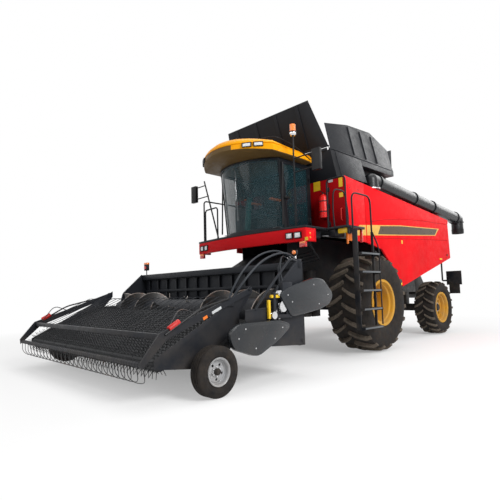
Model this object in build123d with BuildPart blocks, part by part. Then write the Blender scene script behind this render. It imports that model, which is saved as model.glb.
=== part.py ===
from build123d import *
from math import atan2, cos, degrees, pi, radians, sin
import os

# Combine harvester with a belt pickup header, all sizes in millimetres.
# Z is up from the ground, the machine faces -Y and its left side is +X.

# Stations along the machine
front_axle_y = -225
wheelbase = 3730
rear_axle_y = front_axle_y + wheelbase

# Front wheels
front_tyre_d = 1860
front_tyre_w = 760
front_bore_d = 813
front_bead_w = 690
front_wheel_x = 1610
front_lugs = 19
front_lug_depth = 52
front_spindle_r = 75

# Rear wheels
rear_tyre_d = 1350
rear_tyre_w = 480
rear_bore_d = 712
rear_bead_w = 400
rear_wheel_x = 1360
rear_lugs = 15
rear_lug_depth = 40
rear_spindle_r = 50
kingpin_x = 1010
kingpin_r = 32

# Fits and general sizes
running_fit = 0.05
seat_gap = 0.3
sheet = 5
rim_plate = 16
bead_rise = 8
front_flange_h = 38
rear_flange_h = 38
gauge_flange_h = 14

# Chassis and housing
rail_x = 600
rail_w = 100
rail_bottom_z = 1080
rail_top_z = 1240
housing_half_w = 640
housing_front_y = front_axle_y - 1250
housing_rear_y = front_axle_y + 4250
housing_top_z = 2300
belly_half_w = rail_x - rail_w / 2 - 10
belly_bottom_z = 760

# Body panels
body_half_w = 1580
panel_depth = 40
body_front_y = front_axle_y - 560
column_rear_y = front_axle_y + 150
body_rear_y = front_axle_y + 4440
panel_top_front_z = 3420
panel_top_rear_z = 3030
panel_rear_bottom_z = 1980
panel_low_y = front_axle_y + 1630
panel_low_z = 1235
arch_y = front_axle_y + 760
arch_z = 2040
column_bottom_z = 2150
door_gap = 12

# Grain tank and its flaps
tank_half_w = body_half_w - 365
tank_front_y = body_front_y + 30
tank_rear_y = front_axle_y + 1800
tank_low_z = 2900
tank_floor_z = 2360 + seat_gap
rim_half_w = body_half_w - 160
rim_z = 3950
rim_front_y = front_axle_y - 760
shelf_z = 3840
shelf_front_y = front_axle_y + 350
flap_lean = 21
front_flap_h = 960
front_flap_top_half_w = rim_half_w - 240
rear_flap_top_half_w = rim_half_w - 180
flap_foot_half_w = rim_half_w - 40
rear_flap_h = 640
rear_flap_lean = 28
side_flap_h = 834
side_flap_lean = 12
flap_sheet = 6
side_hinge_z = rim_z + 22
end_hinge_z = rim_z + 75

# Platform, bumper and cab
platform_z = housing_top_z
platform_t = 40
platform_half_w = body_half_w - 60
platform_front_y = front_axle_y - 1760
platform_nose_y = front_axle_y - 1900
bumper_h = 240
bumper_t = 60
cab_half_w = 850
cab_rear_y = front_axle_y - 700
cab_floor_t = 60
cab_floor_z = platform_z + platform_t
cab_head_z = 3700
cab_head_t = 40
pillar = 50
screen_foot_y = front_axle_y - 1500
screen_foot_nose_y = front_axle_y - 1860
screen_head_y = front_axle_y - 1640
screen_head_nose_y = front_axle_y - 2040
glass_t = 8
roof_half_w = 1000
roof_nose_y = front_axle_y - 2450
roof_shoulder_y = front_axle_y - 1960
roof_tail_y = front_axle_y - 740
roof_side_z = 3960
roof_crown_z = 4300

# Feeder house and header
feeder_hinge_y = front_axle_y - 1000
feeder_hinge_z = 1800
feeder_half_w = 560
feeder_pin_r = 40
header_half_w = 2170
header_back_y = front_axle_y - 2700
header_back_t = 12
header_top_z = 1620
header_bottom_z = 420
auger_y = front_axle_y - 3260
auger_z = 900
auger_tube_r = 200
auger_flight_r = 340
deck_half_w = header_half_w - 180
deck_rear_y = front_axle_y - 3900
deck_front_y = front_axle_y - 5000
deck_rear_z = 860
deck_front_z = 430
roller_r = 75
guard_y = front_axle_y - 5230
guard_z = 450
guard_pivot_y = front_axle_y - 3650
guard_pivot_z = 1230

auger_stub_r = 30
guard_pin_r = 18

# Gauge wheels of the header
gauge_tyre_d = 590
gauge_tyre_w = 190
gauge_bore_d = 305
gauge_bead_w = 150
gauge_wheel_x = header_half_w + 25
gauge_wheel_y = front_axle_y - 4410
gauge_spindle_r = 20
gauge_axle_z = gauge_tyre_d / 2
gauge_hub_end = gauge_wheel_x + 70

# Lift cylinders between the front axle and the feeder house
lift_x = 400
lift_cheek = 45
lift_cheek_t = 16
lift_foot_y = front_axle_y - 220
lift_foot_z = 690
lift_eye_y = front_axle_y - 2050
lift_eye_z = 770
lift_barrel_r = 58
lift_rod_r = 30
lift_pin_r = 22
lift_eye_play = 8

# Unloading auger
unload_x = body_half_w - 140
unload_y = front_axle_y + 700
unload_z = 3550
unload_r = 160
unload_len = 4880
unload_drop = 0.076

os.makedirs("parts", exist_ok=True)


def lerp(a, b, t):
    return a + (b - a) * t


def yz_plane(x):
    """Plane at x whose local axes are the machine's Y and Z."""
    return Plane(origin=(x, 0, 0), x_dir=(0, 1, 0), z_dir=(1, 0, 0))


def xz_plane(y):
    """Plane at y whose local axes are the machine's X and Z, its normal forwards."""
    return Plane(origin=(0, y, 0), x_dir=(1, 0, 0), z_dir=(0, -1, 0))


def top_edge_z(y):
    """Height of the sloping top edge of the side panels."""
    t = (y - body_front_y) / (body_rear_y - body_front_y)
    return lerp(panel_top_front_z, panel_top_rear_z, t)


def unload_centre_z(y):
    """Height of the unloading tube's centre line at rest."""
    return unload_z - unload_drop * (y - unload_y)


def flat_solid(faces):
    """Solid inside a closed set of flat faces, each given by its corners."""
    return Solid(Shell([Face(Wire.make_polygon(corners)) for corners in faces]))


def tyre_ring(stations, bore_d, sides):
    """Carcass about the X axis: flat-sided ring through (x, radius) stations, with a bore."""
    half = stations[-1][0]
    grow = 1 / cos(pi / sides)
    turns = [2 * pi * (i + 0.5) / sides for i in range(sides)]
    rings = [
        [(x, -radius * grow * sin(turn), radius * grow * cos(turn)) for turn in turns]
        for x, radius in stations + [(half, bore_d / 2), (-half, bore_d / 2)]
    ]
    return flat_solid(
        [
            (ring[i - 1], ring[i], after[i], after[i - 1])
            for ring, after in zip(rings, rings[1:] + rings[:1])
            for i in range(sides)
        ]
    )


def tyre_stations(outer_r, width, bore_d, bead_w, flange_h):
    """Stations of a carcass as (x, radius), from the right bead to the left one."""
    bead_top = bore_d / 2 + flange_h + bead_rise
    half = [
        (bead_w / 2, bead_top),
        (width / 2, lerp(bead_top, outer_r, 0.55)),
        (width * 0.42, outer_r),
    ]
    return [(-x, radius) for x, radius in half] + [(x, radius) for x, radius in reversed(half)]


def lugged_tyre(outer_d, width, bore_d, bead_w, flange_h, depth, lugs, lug_w):
    """Tyre with slanting lugs in two staggered rows, their tips on the outer diameter."""
    tip = outer_d / 2
    carcass = tip - depth
    sweep = tip * 0.29
    lug_in = width * 0.02
    lug_out = width * 0.49
    tip_flat = (tip**2 - (sweep / 2 + lug_w / 2) ** 2) ** 0.5
    with BuildPart() as lug:
        with BuildSketch(Plane.XY.offset(carcass * 0.88)):
            with BuildLine():
                Polyline(
                    (lug_in, -sweep / 2 - lug_w / 2),
                    (lug_out, sweep / 2 - lug_w / 2),
                    (lug_out, sweep / 2 + lug_w / 2),
                    (lug_in, -sweep / 2 + lug_w / 2),
                    close=True,
                )
            make_face()
        extrude(amount=tip_flat - carcass * 0.88)
        with BuildSketch(Plane.XZ):
            with BuildLine():
                Polyline(
                    (lug_in - 1, tip_flat + 1),
                    (width * 0.3, tip_flat + 1),
                    (lug_out + 1, tip_flat - depth * 0.5),
                    (lug_out + 1, carcass * 0.8),
                    (lug_in - 1, carcass * 0.8),
                    close=True,
                )
            make_face()
        extrude(amount=tip, both=True, mode=Mode.INTERSECT)
    step = 360 / lugs
    ring = tyre_ring(tyre_stations(carcass, width, bore_d, bead_w, flange_h), bore_d, lugs)
    with BuildPart() as tyre:
        add(ring)
        with Locations(*[Location((0, 0, 0), (i * step, 0, 0)) for i in range(lugs)]):
            add(lug.part)
        with Locations(*[Location((0, 0, 0), ((i + 0.5) * step, 0, 0)) for i in range(lugs)]):
            add(mirror(lug.part, about=Plane.YZ, mode=Mode.PRIVATE))
    return tyre.part


def wheel_rim(bore_d, bead_w, flange_h, disc_x, hub_r, hub_in, hub_out, spindle_r):
    """Rim barrel, flanges, disc and hub about the X axis, the outer side at +X."""
    barrel = bore_d / 2 - seat_gap
    lip = bead_w / 2 + seat_gap
    with BuildPart() as rim:
        with BuildSketch(Plane.XY):
            with BuildLine():
                Polyline(
                    (-lip - 14, barrel - 20),
                    (-lip - 14, barrel + flange_h),
                    (-lip, barrel + flange_h),
                    (-lip, barrel),
                    (lip, barrel),
                    (lip, barrel + flange_h),
                    (lip + 14, barrel + flange_h),
                    (lip + 14, barrel - 20),
                    (disc_x + rim_plate, barrel - 20),
                    (disc_x + rim_plate, hub_r),
                    (hub_out, hub_r),
                    (hub_out, spindle_r + running_fit),
                    (hub_in, spindle_r + running_fit),
                    (hub_in, hub_r),
                    (disc_x, hub_r),
                    (disc_x, barrel - 20),
                    close=True,
                )
            make_face()
        revolve(axis=Axis.X)
    return rim.part


def side_outline(points):
    """Closed outline in machine Y and Z from a table of corners."""
    Polyline(*points, close=True)


# Front wheels: tyre and rim on each side
front_tyre_shape = lugged_tyre(
    front_tyre_d, front_tyre_w, front_bore_d, front_bead_w, front_flange_h, front_lug_depth, front_lugs, 66
)
front_disc_x = -90
front_hub_out = 70
front_rim_shape = wheel_rim(
    front_bore_d, front_bead_w, front_flange_h, front_disc_x, 190, -120, front_hub_out, front_spindle_r
)
front_axle_z = front_tyre_d / 2

with BuildPart() as front_tyre_left:
    with Locations((front_wheel_x, front_axle_y, front_axle_z)):
        add(front_tyre_shape)
front_tyre_left.part.label = "front_tyre_left"
export_step(front_tyre_left.part, "parts/front_tyre_left.step")

with BuildPart() as front_tyre_right:
    add(mirror(front_tyre_left.part, about=Plane.YZ, mode=Mode.PRIVATE))
front_tyre_right.part.label = "front_tyre_right"
export_step(front_tyre_right.part, "parts/front_tyre_right.step")

with BuildPart() as front_rim_left:
    with Locations((front_wheel_x, front_axle_y, front_axle_z)):
        add(front_rim_shape)
front_rim_left.part.label = "front_rim_left"
export_step(front_rim_left.part, "parts/front_rim_left.step")

with BuildPart() as front_rim_right:
    add(mirror(front_rim_left.part, about=Plane.YZ, mode=Mode.PRIVATE))
front_rim_right.part.label = "front_rim_right"
export_step(front_rim_right.part, "parts/front_rim_right.step")

# Rear wheels
rear_axle_z = rear_tyre_d / 2
rear_disc_x = 40
rear_tyre_shape = lugged_tyre(
    rear_tyre_d, rear_tyre_w, rear_bore_d, rear_bead_w, rear_flange_h, rear_lug_depth, rear_lugs, 48
)
rear_rim_shape = wheel_rim(
    rear_bore_d, rear_bead_w, rear_flange_h, rear_disc_x, 110, -10, 110, rear_spindle_r
)

with BuildPart() as rear_tyre_left:
    with Locations((rear_wheel_x, rear_axle_y, rear_axle_z)):
        add(rear_tyre_shape)
rear_tyre_left.part.label = "rear_tyre_left"
export_step(rear_tyre_left.part, "parts/rear_tyre_left.step")

with BuildPart() as rear_tyre_right:
    add(mirror(rear_tyre_left.part, about=Plane.YZ, mode=Mode.PRIVATE))
rear_tyre_right.part.label = "rear_tyre_right"
export_step(rear_tyre_right.part, "parts/rear_tyre_right.step")

with BuildPart() as rear_rim_left:
    with Locations((rear_wheel_x, rear_axle_y, rear_axle_z)):
        add(rear_rim_shape)
rear_rim_left.part.label = "rear_rim_left"
export_step(rear_rim_left.part, "parts/rear_rim_left.step")

with BuildPart() as rear_rim_right:
    add(mirror(rear_rim_left.part, about=Plane.YZ, mode=Mode.PRIVATE))
rear_rim_right.part.label = "rear_rim_right"
export_step(rear_rim_right.part, "parts/rear_rim_right.step")

# Front axle: cross beam, final drive housings and spindles
axle_beam_h = 2 * (rail_bottom_z - front_axle_z)
drive_in_x = 1010
drive_out_x = front_wheel_x - front_tyre_w / 2 - 30
with BuildPart() as front_axle:
    with Locations((0, front_axle_y, front_axle_z)):
        Box(2 * drive_in_x, 260, axle_beam_h)
    for side in (-1, 1):
        with Locations((side * (drive_in_x + drive_out_x) / 2, front_axle_y, front_axle_z)):
            Cylinder(230, drive_out_x - drive_in_x, rotation=(0, 90, 0))
        boss_end_x = front_wheel_x - 120 - seat_gap
        with Locations((side * (drive_out_x + boss_end_x) / 2, front_axle_y, front_axle_z)):
            Cylinder(150, boss_end_x - drive_out_x, rotation=(0, 90, 0))
        stub_end_x = front_wheel_x + front_hub_out
        with Locations((side * (boss_end_x + stub_end_x) / 2, front_axle_y, front_axle_z)):
            Cylinder(front_spindle_r, stub_end_x - boss_end_x, rotation=(0, 90, 0))
        for cheek in (-1, 1):
            cheek_x = side * lift_x + cheek * lift_cheek
            with Locations((cheek_x, (lift_foot_y - 60 + front_axle_y) / 2, lift_foot_z + 50)):
                Box(lift_cheek_t, front_axle_y - lift_foot_y + 60, 200)
        with Locations((side * lift_x, lift_foot_y, lift_foot_z)):
            Cylinder(lift_pin_r, 2 * lift_cheek + lift_cheek_t, rotation=(0, 90, 0))
front_axle.part.label = "front_axle"
export_step(front_axle.part, "parts/front_axle.step")

# Rear axle: pivoted beam with kingpin forks
rear_beam_h = 180
rear_beam_w = 200
fork_h = 340
fork_gap_h = 190
fork_plate = (fork_h - fork_gap_h) / 2
knuckle_gap = 6
with BuildPart() as rear_axle:
    with Locations((0, rear_axle_y, rear_axle_z)):
        Box(2 * (kingpin_x - 110), rear_beam_w, rear_beam_h)
    for side in (-1, 1):
        fork_x = side * (kingpin_x - 110 + kingpin_x + 60) / 2
        for level in (-1, 1):
            with Locations((fork_x, rear_axle_y, rear_axle_z + level * (fork_gap_h + fork_plate) / 2)):
                Box(170, 130, fork_plate)
        with Locations((side * (kingpin_x - 130), rear_axle_y, rear_axle_z)):
            Box(40, 130, fork_h)
        with Locations((side * kingpin_x, rear_axle_y, rear_axle_z)):
            Cylinder(kingpin_r, fork_h)
    with Locations((0, rear_axle_y, (rear_axle_z + rear_beam_h / 2 + rail_bottom_z) / 2)):
        Box(2 * rail_x + rail_w, rear_beam_w, rail_bottom_z - rear_axle_z - rear_beam_h / 2)
        Box(2 * rail_x - 260, rear_beam_w, rail_bottom_z, mode=Mode.SUBTRACT)
    with Locations((0, rear_axle_y, (rear_axle_z + rear_beam_h / 2 + rail_bottom_z) / 2)):
        Box(300, rear_beam_w, rail_bottom_z - rear_axle_z - rear_beam_h / 2)
    with Locations((0, rear_axle_y, rear_axle_z)):
        Box(2 * (kingpin_x - 110), rear_beam_w, rear_beam_h)
rear_axle.part.label = "rear_axle"
export_step(rear_axle.part, "parts/rear_axle.step")

# Steering knuckles: a block on the kingpin with the wheel's spindle
with BuildPart() as knuckle_left:
    with Locations((kingpin_x, rear_axle_y, rear_axle_z)):
        Cylinder(75, fork_gap_h - 2 * knuckle_gap)
        Cylinder(kingpin_r + running_fit, fork_gap_h, mode=Mode.SUBTRACT)
    spindle_start = kingpin_x + 70
    boss_end = rear_wheel_x - 10 - seat_gap
    with Locations(((spindle_start + boss_end) / 2, rear_axle_y, rear_axle_z)):
        Cylinder(80, boss_end - spindle_start, rotation=(0, 90, 0))
    spindle_end = rear_wheel_x + 110
    with Locations(((boss_end + spindle_end) / 2, rear_axle_y, rear_axle_z)):
        Cylinder(rear_spindle_r, spindle_end - boss_end, rotation=(0, 90, 0))
knuckle_left.part.label = "knuckle_left"
export_step(knuckle_left.part, "parts/knuckle_left.step")

with BuildPart() as knuckle_right:
    add(mirror(knuckle_left.part, about=Plane.YZ, mode=Mode.PRIVATE))
knuckle_right.part.label = "knuckle_right"
export_step(knuckle_right.part, "parts/knuckle_right.step")

# Chassis frame: two rails and cross members above the axles
rail_front_y = housing_front_y + 50
rail_rear_y = housing_rear_y
with BuildPart() as chassis_frame:
    for side in (-1, 1):
        with Locations((side * rail_x, (rail_front_y + rail_rear_y) / 2, (rail_bottom_z + rail_top_z) / 2)):
            Box(rail_w, rail_rear_y - rail_front_y, rail_top_z - rail_bottom_z)
    for cross_y in (rail_front_y + 60, front_axle_y, rear_axle_y, rail_rear_y - 60):
        with Locations((0, cross_y, (rail_bottom_z + rail_top_z) / 2)):
            Box(2 * rail_x - rail_w, 100, rail_top_z - rail_bottom_z)
chassis_frame.part.label = "chassis_frame"
export_step(chassis_frame.part, "parts/chassis_frame.step")

# Threshing housing: a sheet tunnel on the rails, open to the feeder and at the straw end
with BuildPart() as threshing_housing:
    mid_y = (housing_front_y + housing_rear_y) / 2
    mid_z = (rail_top_z + housing_top_z) / 2
    with Locations((0, mid_y, mid_z)):
        Box(2 * housing_half_w, housing_rear_y - housing_front_y, housing_top_z - rail_top_z)
        Box(
            2 * (housing_half_w - sheet),
            housing_rear_y - housing_front_y,
            housing_top_z - rail_top_z - 2 * sheet,
            mode=Mode.SUBTRACT,
        )
    # pins that carry the feeder house
    for side in (-1, 1):
        with Locations((side * (housing_half_w - sheet - 10), feeder_hinge_y, feeder_hinge_z)):
            Cylinder(110, 20, rotation=(0, 90, 0))
        pin_inner_x = feeder_half_w - 80
        pin_outer_x = housing_half_w - sheet - 10
        with Locations((side * (pin_inner_x + pin_outer_x) / 2, feeder_hinge_y, feeder_hinge_z)):
            Cylinder(feeder_pin_r, pin_outer_x - pin_inner_x, rotation=(0, 90, 0))
threshing_housing.part.label = "threshing_housing"
export_step(threshing_housing.part, "parts/threshing_housing.step")

# Cleaning shoe: belly pan hung between the rails, behind the front axle
belly_front_y = front_axle_y + 200
belly_rear_y = rear_axle_y - 250
with BuildPart() as cleaning_shoe:
    with BuildSketch(yz_plane(-belly_half_w)):
        with BuildLine():
            side_outline(
                [
                    (belly_front_y, rail_top_z - seat_gap),
                    (belly_front_y, belly_bottom_z + 150),
                    (belly_front_y + 250, belly_bottom_z),
                    (belly_rear_y - 900, belly_bottom_z),
                    (belly_rear_y, belly_bottom_z + 240),
                    (belly_rear_y, rail_top_z - seat_gap),
                ]
            )
        make_face()
    extrude(amount=2 * belly_half_w)
cleaning_shoe.part.label = "cleaning_shoe"
export_step(cleaning_shoe.part, "parts/cleaning_shoe.step")

# Body frame: cross bearers on the housing and posts that carry the panels
wall_t = 25
post = 60
deck_drop = 60
deck_t = 30
bearer_z = housing_top_z
with BuildPart() as body_frame:
    post_in_x = body_half_w - panel_depth - 40 - post
    for frame_y, has_posts in (
        (body_front_y + wall_t + seat_gap, True),
        (tank_rear_y - 110, False),
        (tank_rear_y + 30, True),
        (body_rear_y - 90, True),
    ):
        half = post_in_x + post if has_posts else housing_half_w
        with Locations((0, frame_y + post / 2, bearer_z + post / 2)):
            Box(2 * half, post, post)
        for side in (-1, 1) if has_posts else ():
            with BuildSketch(yz_plane(side * post_in_x)):
                with BuildLine():
                    side_outline(
                        [
                            (frame_y, bearer_z),
                            (frame_y, top_edge_z(frame_y) - deck_drop - deck_t - seat_gap),
                            (frame_y + post, top_edge_z(frame_y + post) - deck_drop - deck_t - seat_gap),
                            (frame_y + post, bearer_z),
                        ]
                    )
                make_face()
            extrude(amount=side * post)
body_frame.part.label = "body_frame"
export_step(body_frame.part, "parts/body_frame.step")

# Side panels: pressed trays hinged along their sloping top edge
panel_front_y = column_rear_y + door_gap
panel_pin_r = 8
panel_axis_x = body_half_w - 14
panel_axis_drop = 20
panel_slope = (panel_top_front_z - panel_top_rear_z) / (body_rear_y - body_front_y)


def panel_pin_plane(side, y):
    """Plane square to the panel's hinge axis, at station y."""
    return Plane(
        origin=(side * panel_axis_x, y, top_edge_z(y) - panel_axis_drop), z_dir=(0, 1, -panel_slope)
    )


# Front wall and front columns of the body
wall_bottom_z = cab_floor_z + 100
with BuildPart() as front_wall:
    with Locations((0, body_front_y + wall_t / 2, (wall_bottom_z + panel_top_front_z) / 2)):
        Box(2 * body_half_w, wall_t, panel_top_front_z - wall_bottom_z)
    for side in (-1, 1):
        with BuildSketch(yz_plane(side * body_half_w)):
            with BuildLine():
                side_outline(
                    [
                        (body_front_y, panel_top_front_z),
                        (column_rear_y, top_edge_z(column_rear_y)),
                        (column_rear_y, column_bottom_z - 5),
                        (body_front_y, column_bottom_z),
                    ]
                )
            make_face()
        extrude(amount=-side * wall_t)
        with BuildSketch(panel_pin_plane(side, column_rear_y - 1)):
            Circle(panel_pin_r)
        extrude(amount=door_gap + 26)
front_wall.part.label = "front_wall"
export_step(front_wall.part, "parts/front_wall.step")

# Side panels
with BuildPart() as side_panel_left:
    outline = [
        (panel_front_y, top_edge_z(panel_front_y)),
        (body_rear_y, panel_top_rear_z),
        (body_rear_y + 50, panel_rear_bottom_z),
        (panel_low_y, panel_low_z),
        (panel_low_y - 320, panel_low_z + 330),
        (arch_y, arch_z),
        (panel_front_y, column_bottom_z - 10),
    ]
    with BuildSketch(yz_plane(body_half_w)):
        with BuildLine():
            side_outline(outline)
        make_face()
    extrude(amount=-panel_depth)
    with BuildSketch(yz_plane(body_half_w - sheet)):
        with BuildLine():
            side_outline(outline)
        make_face()
        offset(amount=-sheet, kind=Kind.INTERSECTION, mode=Mode.REPLACE)
    extrude(amount=-panel_depth, mode=Mode.SUBTRACT)
    for pin_y in (panel_front_y, body_rear_y):
        with BuildSketch(panel_pin_plane(1, pin_y)):
            Circle(panel_pin_r + running_fit)
        extrude(amount=60, both=True, mode=Mode.SUBTRACT)
side_panel_left.part.label = "side_panel_left"
export_step(side_panel_left.part, "parts/side_panel_left.step")

with BuildPart() as side_panel_right:
    add(mirror(side_panel_left.part, about=Plane.YZ, mode=Mode.PRIVATE))
side_panel_right.part.label = "side_panel_right"
export_step(side_panel_right.part, "parts/side_panel_right.step")

# Rear hood: engine deck and rear wall of the body
cradle_y = body_rear_y - 390
cradle_clear = 6
with BuildPart() as rear_hood:
    hood_half_w = body_half_w - panel_depth - 10
    with BuildSketch(yz_plane(-hood_half_w)):
        with BuildLine():
            side_outline(
                [
                    (tank_rear_y + 20, top_edge_z(tank_rear_y + 20) - deck_drop),
                    (body_rear_y + 20, top_edge_z(body_rear_y + 20) - deck_drop),
                    (body_rear_y + 60, panel_rear_bottom_z),
                    (body_rear_y + 60 - deck_t, panel_rear_bottom_z),
                    (body_rear_y - 10, top_edge_z(body_rear_y - 10) - deck_drop - deck_t),
                    (tank_rear_y + 20, top_edge_z(tank_rear_y + 20) - deck_drop - deck_t),
                ]
            )
        make_face()
    extrude(amount=2 * hood_half_w)
    for side in (-1, 1):
        lug_y = body_rear_y + door_gap + 10
        lug_z = top_edge_z(lug_y) - panel_axis_drop
        with Locations((side * (hood_half_w + body_half_w) / 2, lug_y + 5, lug_z - 30)):
            Box(body_half_w - hood_half_w, 16, 90)
        with BuildSketch(panel_pin_plane(side, lug_y)):
            Circle(panel_pin_r)
        extrude(amount=-door_gap - 34)
    # cradle for the unloading tube
    cradle_foot_z = top_edge_z(cradle_y) - deck_drop
    tube_z = unload_centre_z(cradle_y)
    post_top_z = tube_z - unload_r - cradle_clear
    stop_x = unload_x - unload_r - cradle_clear
    with BuildSketch(xz_plane(cradle_y)):
        with BuildLine():
            Polyline(
                (unload_x + 60, cradle_foot_z + 12),
                (unload_x + 60, post_top_z),
                (stop_x + 60, post_top_z),
                (stop_x, post_top_z + 60),
                (stop_x, tube_z),
                (stop_x - 20, tube_z),
                (stop_x - 20, cradle_foot_z + 12),
                close=True,
            )
        make_face()
    extrude(amount=-14)
    with BuildSketch(yz_plane(stop_x - 40)):
        with BuildLine():
            side_outline(
                [
                    (cradle_y - 40, top_edge_z(cradle_y - 40) - deck_drop),
                    (cradle_y + 40, top_edge_z(cradle_y + 40) - deck_drop),
                    (cradle_y + 40, cradle_foot_z + 14),
                    (cradle_y - 40, cradle_foot_z + 14),
                ]
            )
        make_face()
    extrude(amount=unload_x + 80 - stop_x)
rear_hood.part.label = "rear_hood"
export_step(rear_hood.part, "parts/rear_hood.step")

# Engine: one block on the housing, under the deck
with BuildPart() as engine_block:
    with Locations((0, front_axle_y + 3000, housing_top_z + 330)):
        Box(1100, 1300, 660)
engine_block.part.label = "engine_block"
export_step(engine_block.part, "parts/engine_block.step")

# Straw chopper and spreader under the rear hood
chopper_len = 800
with BuildPart() as chopper:
    with BuildSketch(yz_plane(-housing_half_w)):
        with BuildLine():
            side_outline(
                [
                    (housing_rear_y + seat_gap, rail_top_z + 300),
                    (housing_rear_y + seat_gap, rail_bottom_z - 60),
                    (housing_rear_y + 300, rail_bottom_z - 180),
                    (housing_rear_y + chopper_len, rail_bottom_z - 60),
                    (housing_rear_y + chopper_len, rail_bottom_z),
                    (housing_rear_y + 420, rail_top_z + 300),
                ]
            )
        make_face()
    extrude(amount=2 * housing_half_w)
chopper.part.label = "chopper"
export_step(chopper.part, "parts/chopper.step")

# Grain tank: open sheet bin with sloping floor sheets
riser_top_z = unload_z - unload_r - 28
sump_h = 400
sump_out_x = body_half_w - panel_depth - 14
with BuildPart() as grain_tank:
    with BuildSketch(xz_plane(tank_front_y)):
        with BuildLine():
            Polyline(
                (-tank_half_w, panel_top_front_z),
                (-tank_half_w, tank_low_z),
                (-housing_half_w, tank_floor_z),
                (housing_half_w, tank_floor_z),
                (tank_half_w, tank_low_z),
                (tank_half_w, panel_top_front_z),
                close=True,
            )
        make_face()
    extrude(amount=-(tank_rear_y - tank_front_y))
    with BuildSketch(xz_plane(tank_front_y + sheet)):
        with BuildLine():
            Polyline(
                (-tank_half_w + sheet, panel_top_front_z),
                (-tank_half_w + sheet, tank_low_z),
                (-housing_half_w, tank_floor_z + sheet),
                (housing_half_w, tank_floor_z + sheet),
                (tank_half_w - sheet, tank_low_z),
                (tank_half_w - sheet, panel_top_front_z),
                close=True,
            )
        make_face()
    extrude(amount=-(tank_rear_y - tank_front_y - 2 * sheet), mode=Mode.SUBTRACT)
    # sump and riser of the unloading auger on the left wall
    with Locations((unload_x, unload_y, riser_top_z - 30)):
        Cylinder(sump_out_x - unload_x, 60)
    with Locations(((tank_half_w + sump_out_x) / 2, unload_y, riser_top_z - 50 - sump_h / 2)):
        Box(sump_out_x - tank_half_w, 300, sump_h)
    with Locations((unload_x, unload_y, riser_top_z - 10)):
        Cylinder(unload_r + 30, 20)
grain_tank.part.label = "grain_tank"
export_step(grain_tank.part, "parts/grain_tank.step")

# Hinges of the flaps
barrel_r = 14
pin_r = 8
lug_t = 12
pin_in = 30

# Tank rim: leaning sheets between the bin and the flap hinges
with BuildPart() as tank_rim:
    rear_y = tank_rear_y
    inner = rim_half_w - sheet
    foot = body_half_w - wall_t - 10
    # front sheet, leaning forward over the front wall
    with BuildSketch(yz_plane(-inner)):
        with BuildLine():
            side_outline(
                [
                    (body_front_y, panel_top_front_z + seat_gap),
                    (body_front_y + sheet, panel_top_front_z + seat_gap),
                    (rim_front_y + sheet, rim_z),
                    (rim_front_y, rim_z),
                ]
            )
        make_face()
    extrude(amount=2 * inner)
    # rear sheet
    rear_low_z = top_edge_z(rear_y)
    with BuildSketch(xz_plane(rear_y)):
        with BuildLine():
            Polyline(
                (-rim_half_w, rear_low_z),
                (tank_half_w, rear_low_z),
                (tank_half_w, shelf_z),
                (rim_half_w, shelf_z),
                (rim_half_w, rim_z),
                (-rim_half_w, rim_z),
                close=True,
            )
        make_face()
    extrude(amount=-sheet)
    # level curb that closes the bin's top edge
    with Locations((0, (tank_front_y + rear_y) / 2, panel_top_front_z + 20)):
        Box(2 * tank_half_w, rear_y - tank_front_y, 40 - 2 * seat_gap)
        Box(2 * (tank_half_w - sheet), rear_y - tank_front_y - 2 * sheet, 60, mode=Mode.SUBTRACT)
    # right side: one leaning sheet; left side: the same up to the auger's recess
    for side, sheet_rear_y in ((-1, rear_y), (1, shelf_front_y)):
        with BuildSketch(xz_plane(rim_front_y + 170)):
            with BuildLine():
                Polyline(
                    (side * foot, panel_top_front_z + seat_gap),
                    (side * (foot - sheet), panel_top_front_z + seat_gap),
                    (side * (rim_half_w - sheet), rim_z),
                    (side * rim_half_w, rim_z),
                    close=True,
                )
            make_face()
        extrude(amount=-(sheet_rear_y - rim_front_y - 170))
    with Locations((tank_half_w - sheet / 2, (shelf_front_y + rear_y) / 2, (panel_top_front_z + shelf_z) / 2)):
        Box(sheet, rear_y - shelf_front_y, shelf_z - panel_top_front_z)
    with Locations(((tank_half_w + rim_half_w) / 2 - sheet / 2, (shelf_front_y + rear_y) / 2, shelf_z)):
        Box(rim_half_w - tank_half_w + sheet, rear_y - shelf_front_y, sheet)
    with Locations((rim_half_w - sheet / 2, (shelf_front_y + rear_y) / 2, (shelf_z + rim_z) / 2)):
        Box(sheet, rear_y - shelf_front_y, rim_z - shelf_z)
    shelf_x = (tank_half_w + rim_half_w) / 2 - sheet / 2
    with Locations((shelf_x, shelf_front_y, (panel_top_front_z + rim_z) / 2)):
        Box(rim_half_w - tank_half_w + sheet, sheet, rim_z - panel_top_front_z)
    # hinge lugs with their pins, standing on the rim
    for side in (-1, 1):
        for hinge_y in (rim_front_y, tank_rear_y):
            lug_x = side * (flap_foot_half_w + 4 + lug_t / 2)
            with Locations((lug_x, hinge_y + (5 if hinge_y > 0 else 2), (rim_z + end_hinge_z + 15) / 2)):
                Box(lug_t, 8, end_hinge_z + 15 - rim_z)
            with Locations((lug_x - side * pin_in / 2, hinge_y, end_hinge_z)):
                Cylinder(pin_r, pin_in + lug_t, rotation=(0, 90, 0))
    hinge_x = rim_half_w - barrel_r - 2
    for side in (-1, 1):
        for end_y, inward in ((rim_front_y + 20 - 4, 1), (tank_rear_y - 20 + 4, -1)):
            with Locations((side * hinge_x, end_y - inward * lug_t / 2, (rim_z + side_hinge_z + 13) / 2)):
                Box(2 * 13, lug_t, side_hinge_z + 13 - rim_z)
            with Locations((side * hinge_x, end_y + inward * (pin_in - lug_t) / 2, side_hinge_z)):
                Cylinder(pin_r, pin_in + lug_t, rotation=(90, 0, 0))
tank_rim.part.label = "tank_rim"
export_step(tank_rim.part, "parts/tank_rim.step")

# Flaps over the tank: each a sheet with a hinge barrel and outer ribs


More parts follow.
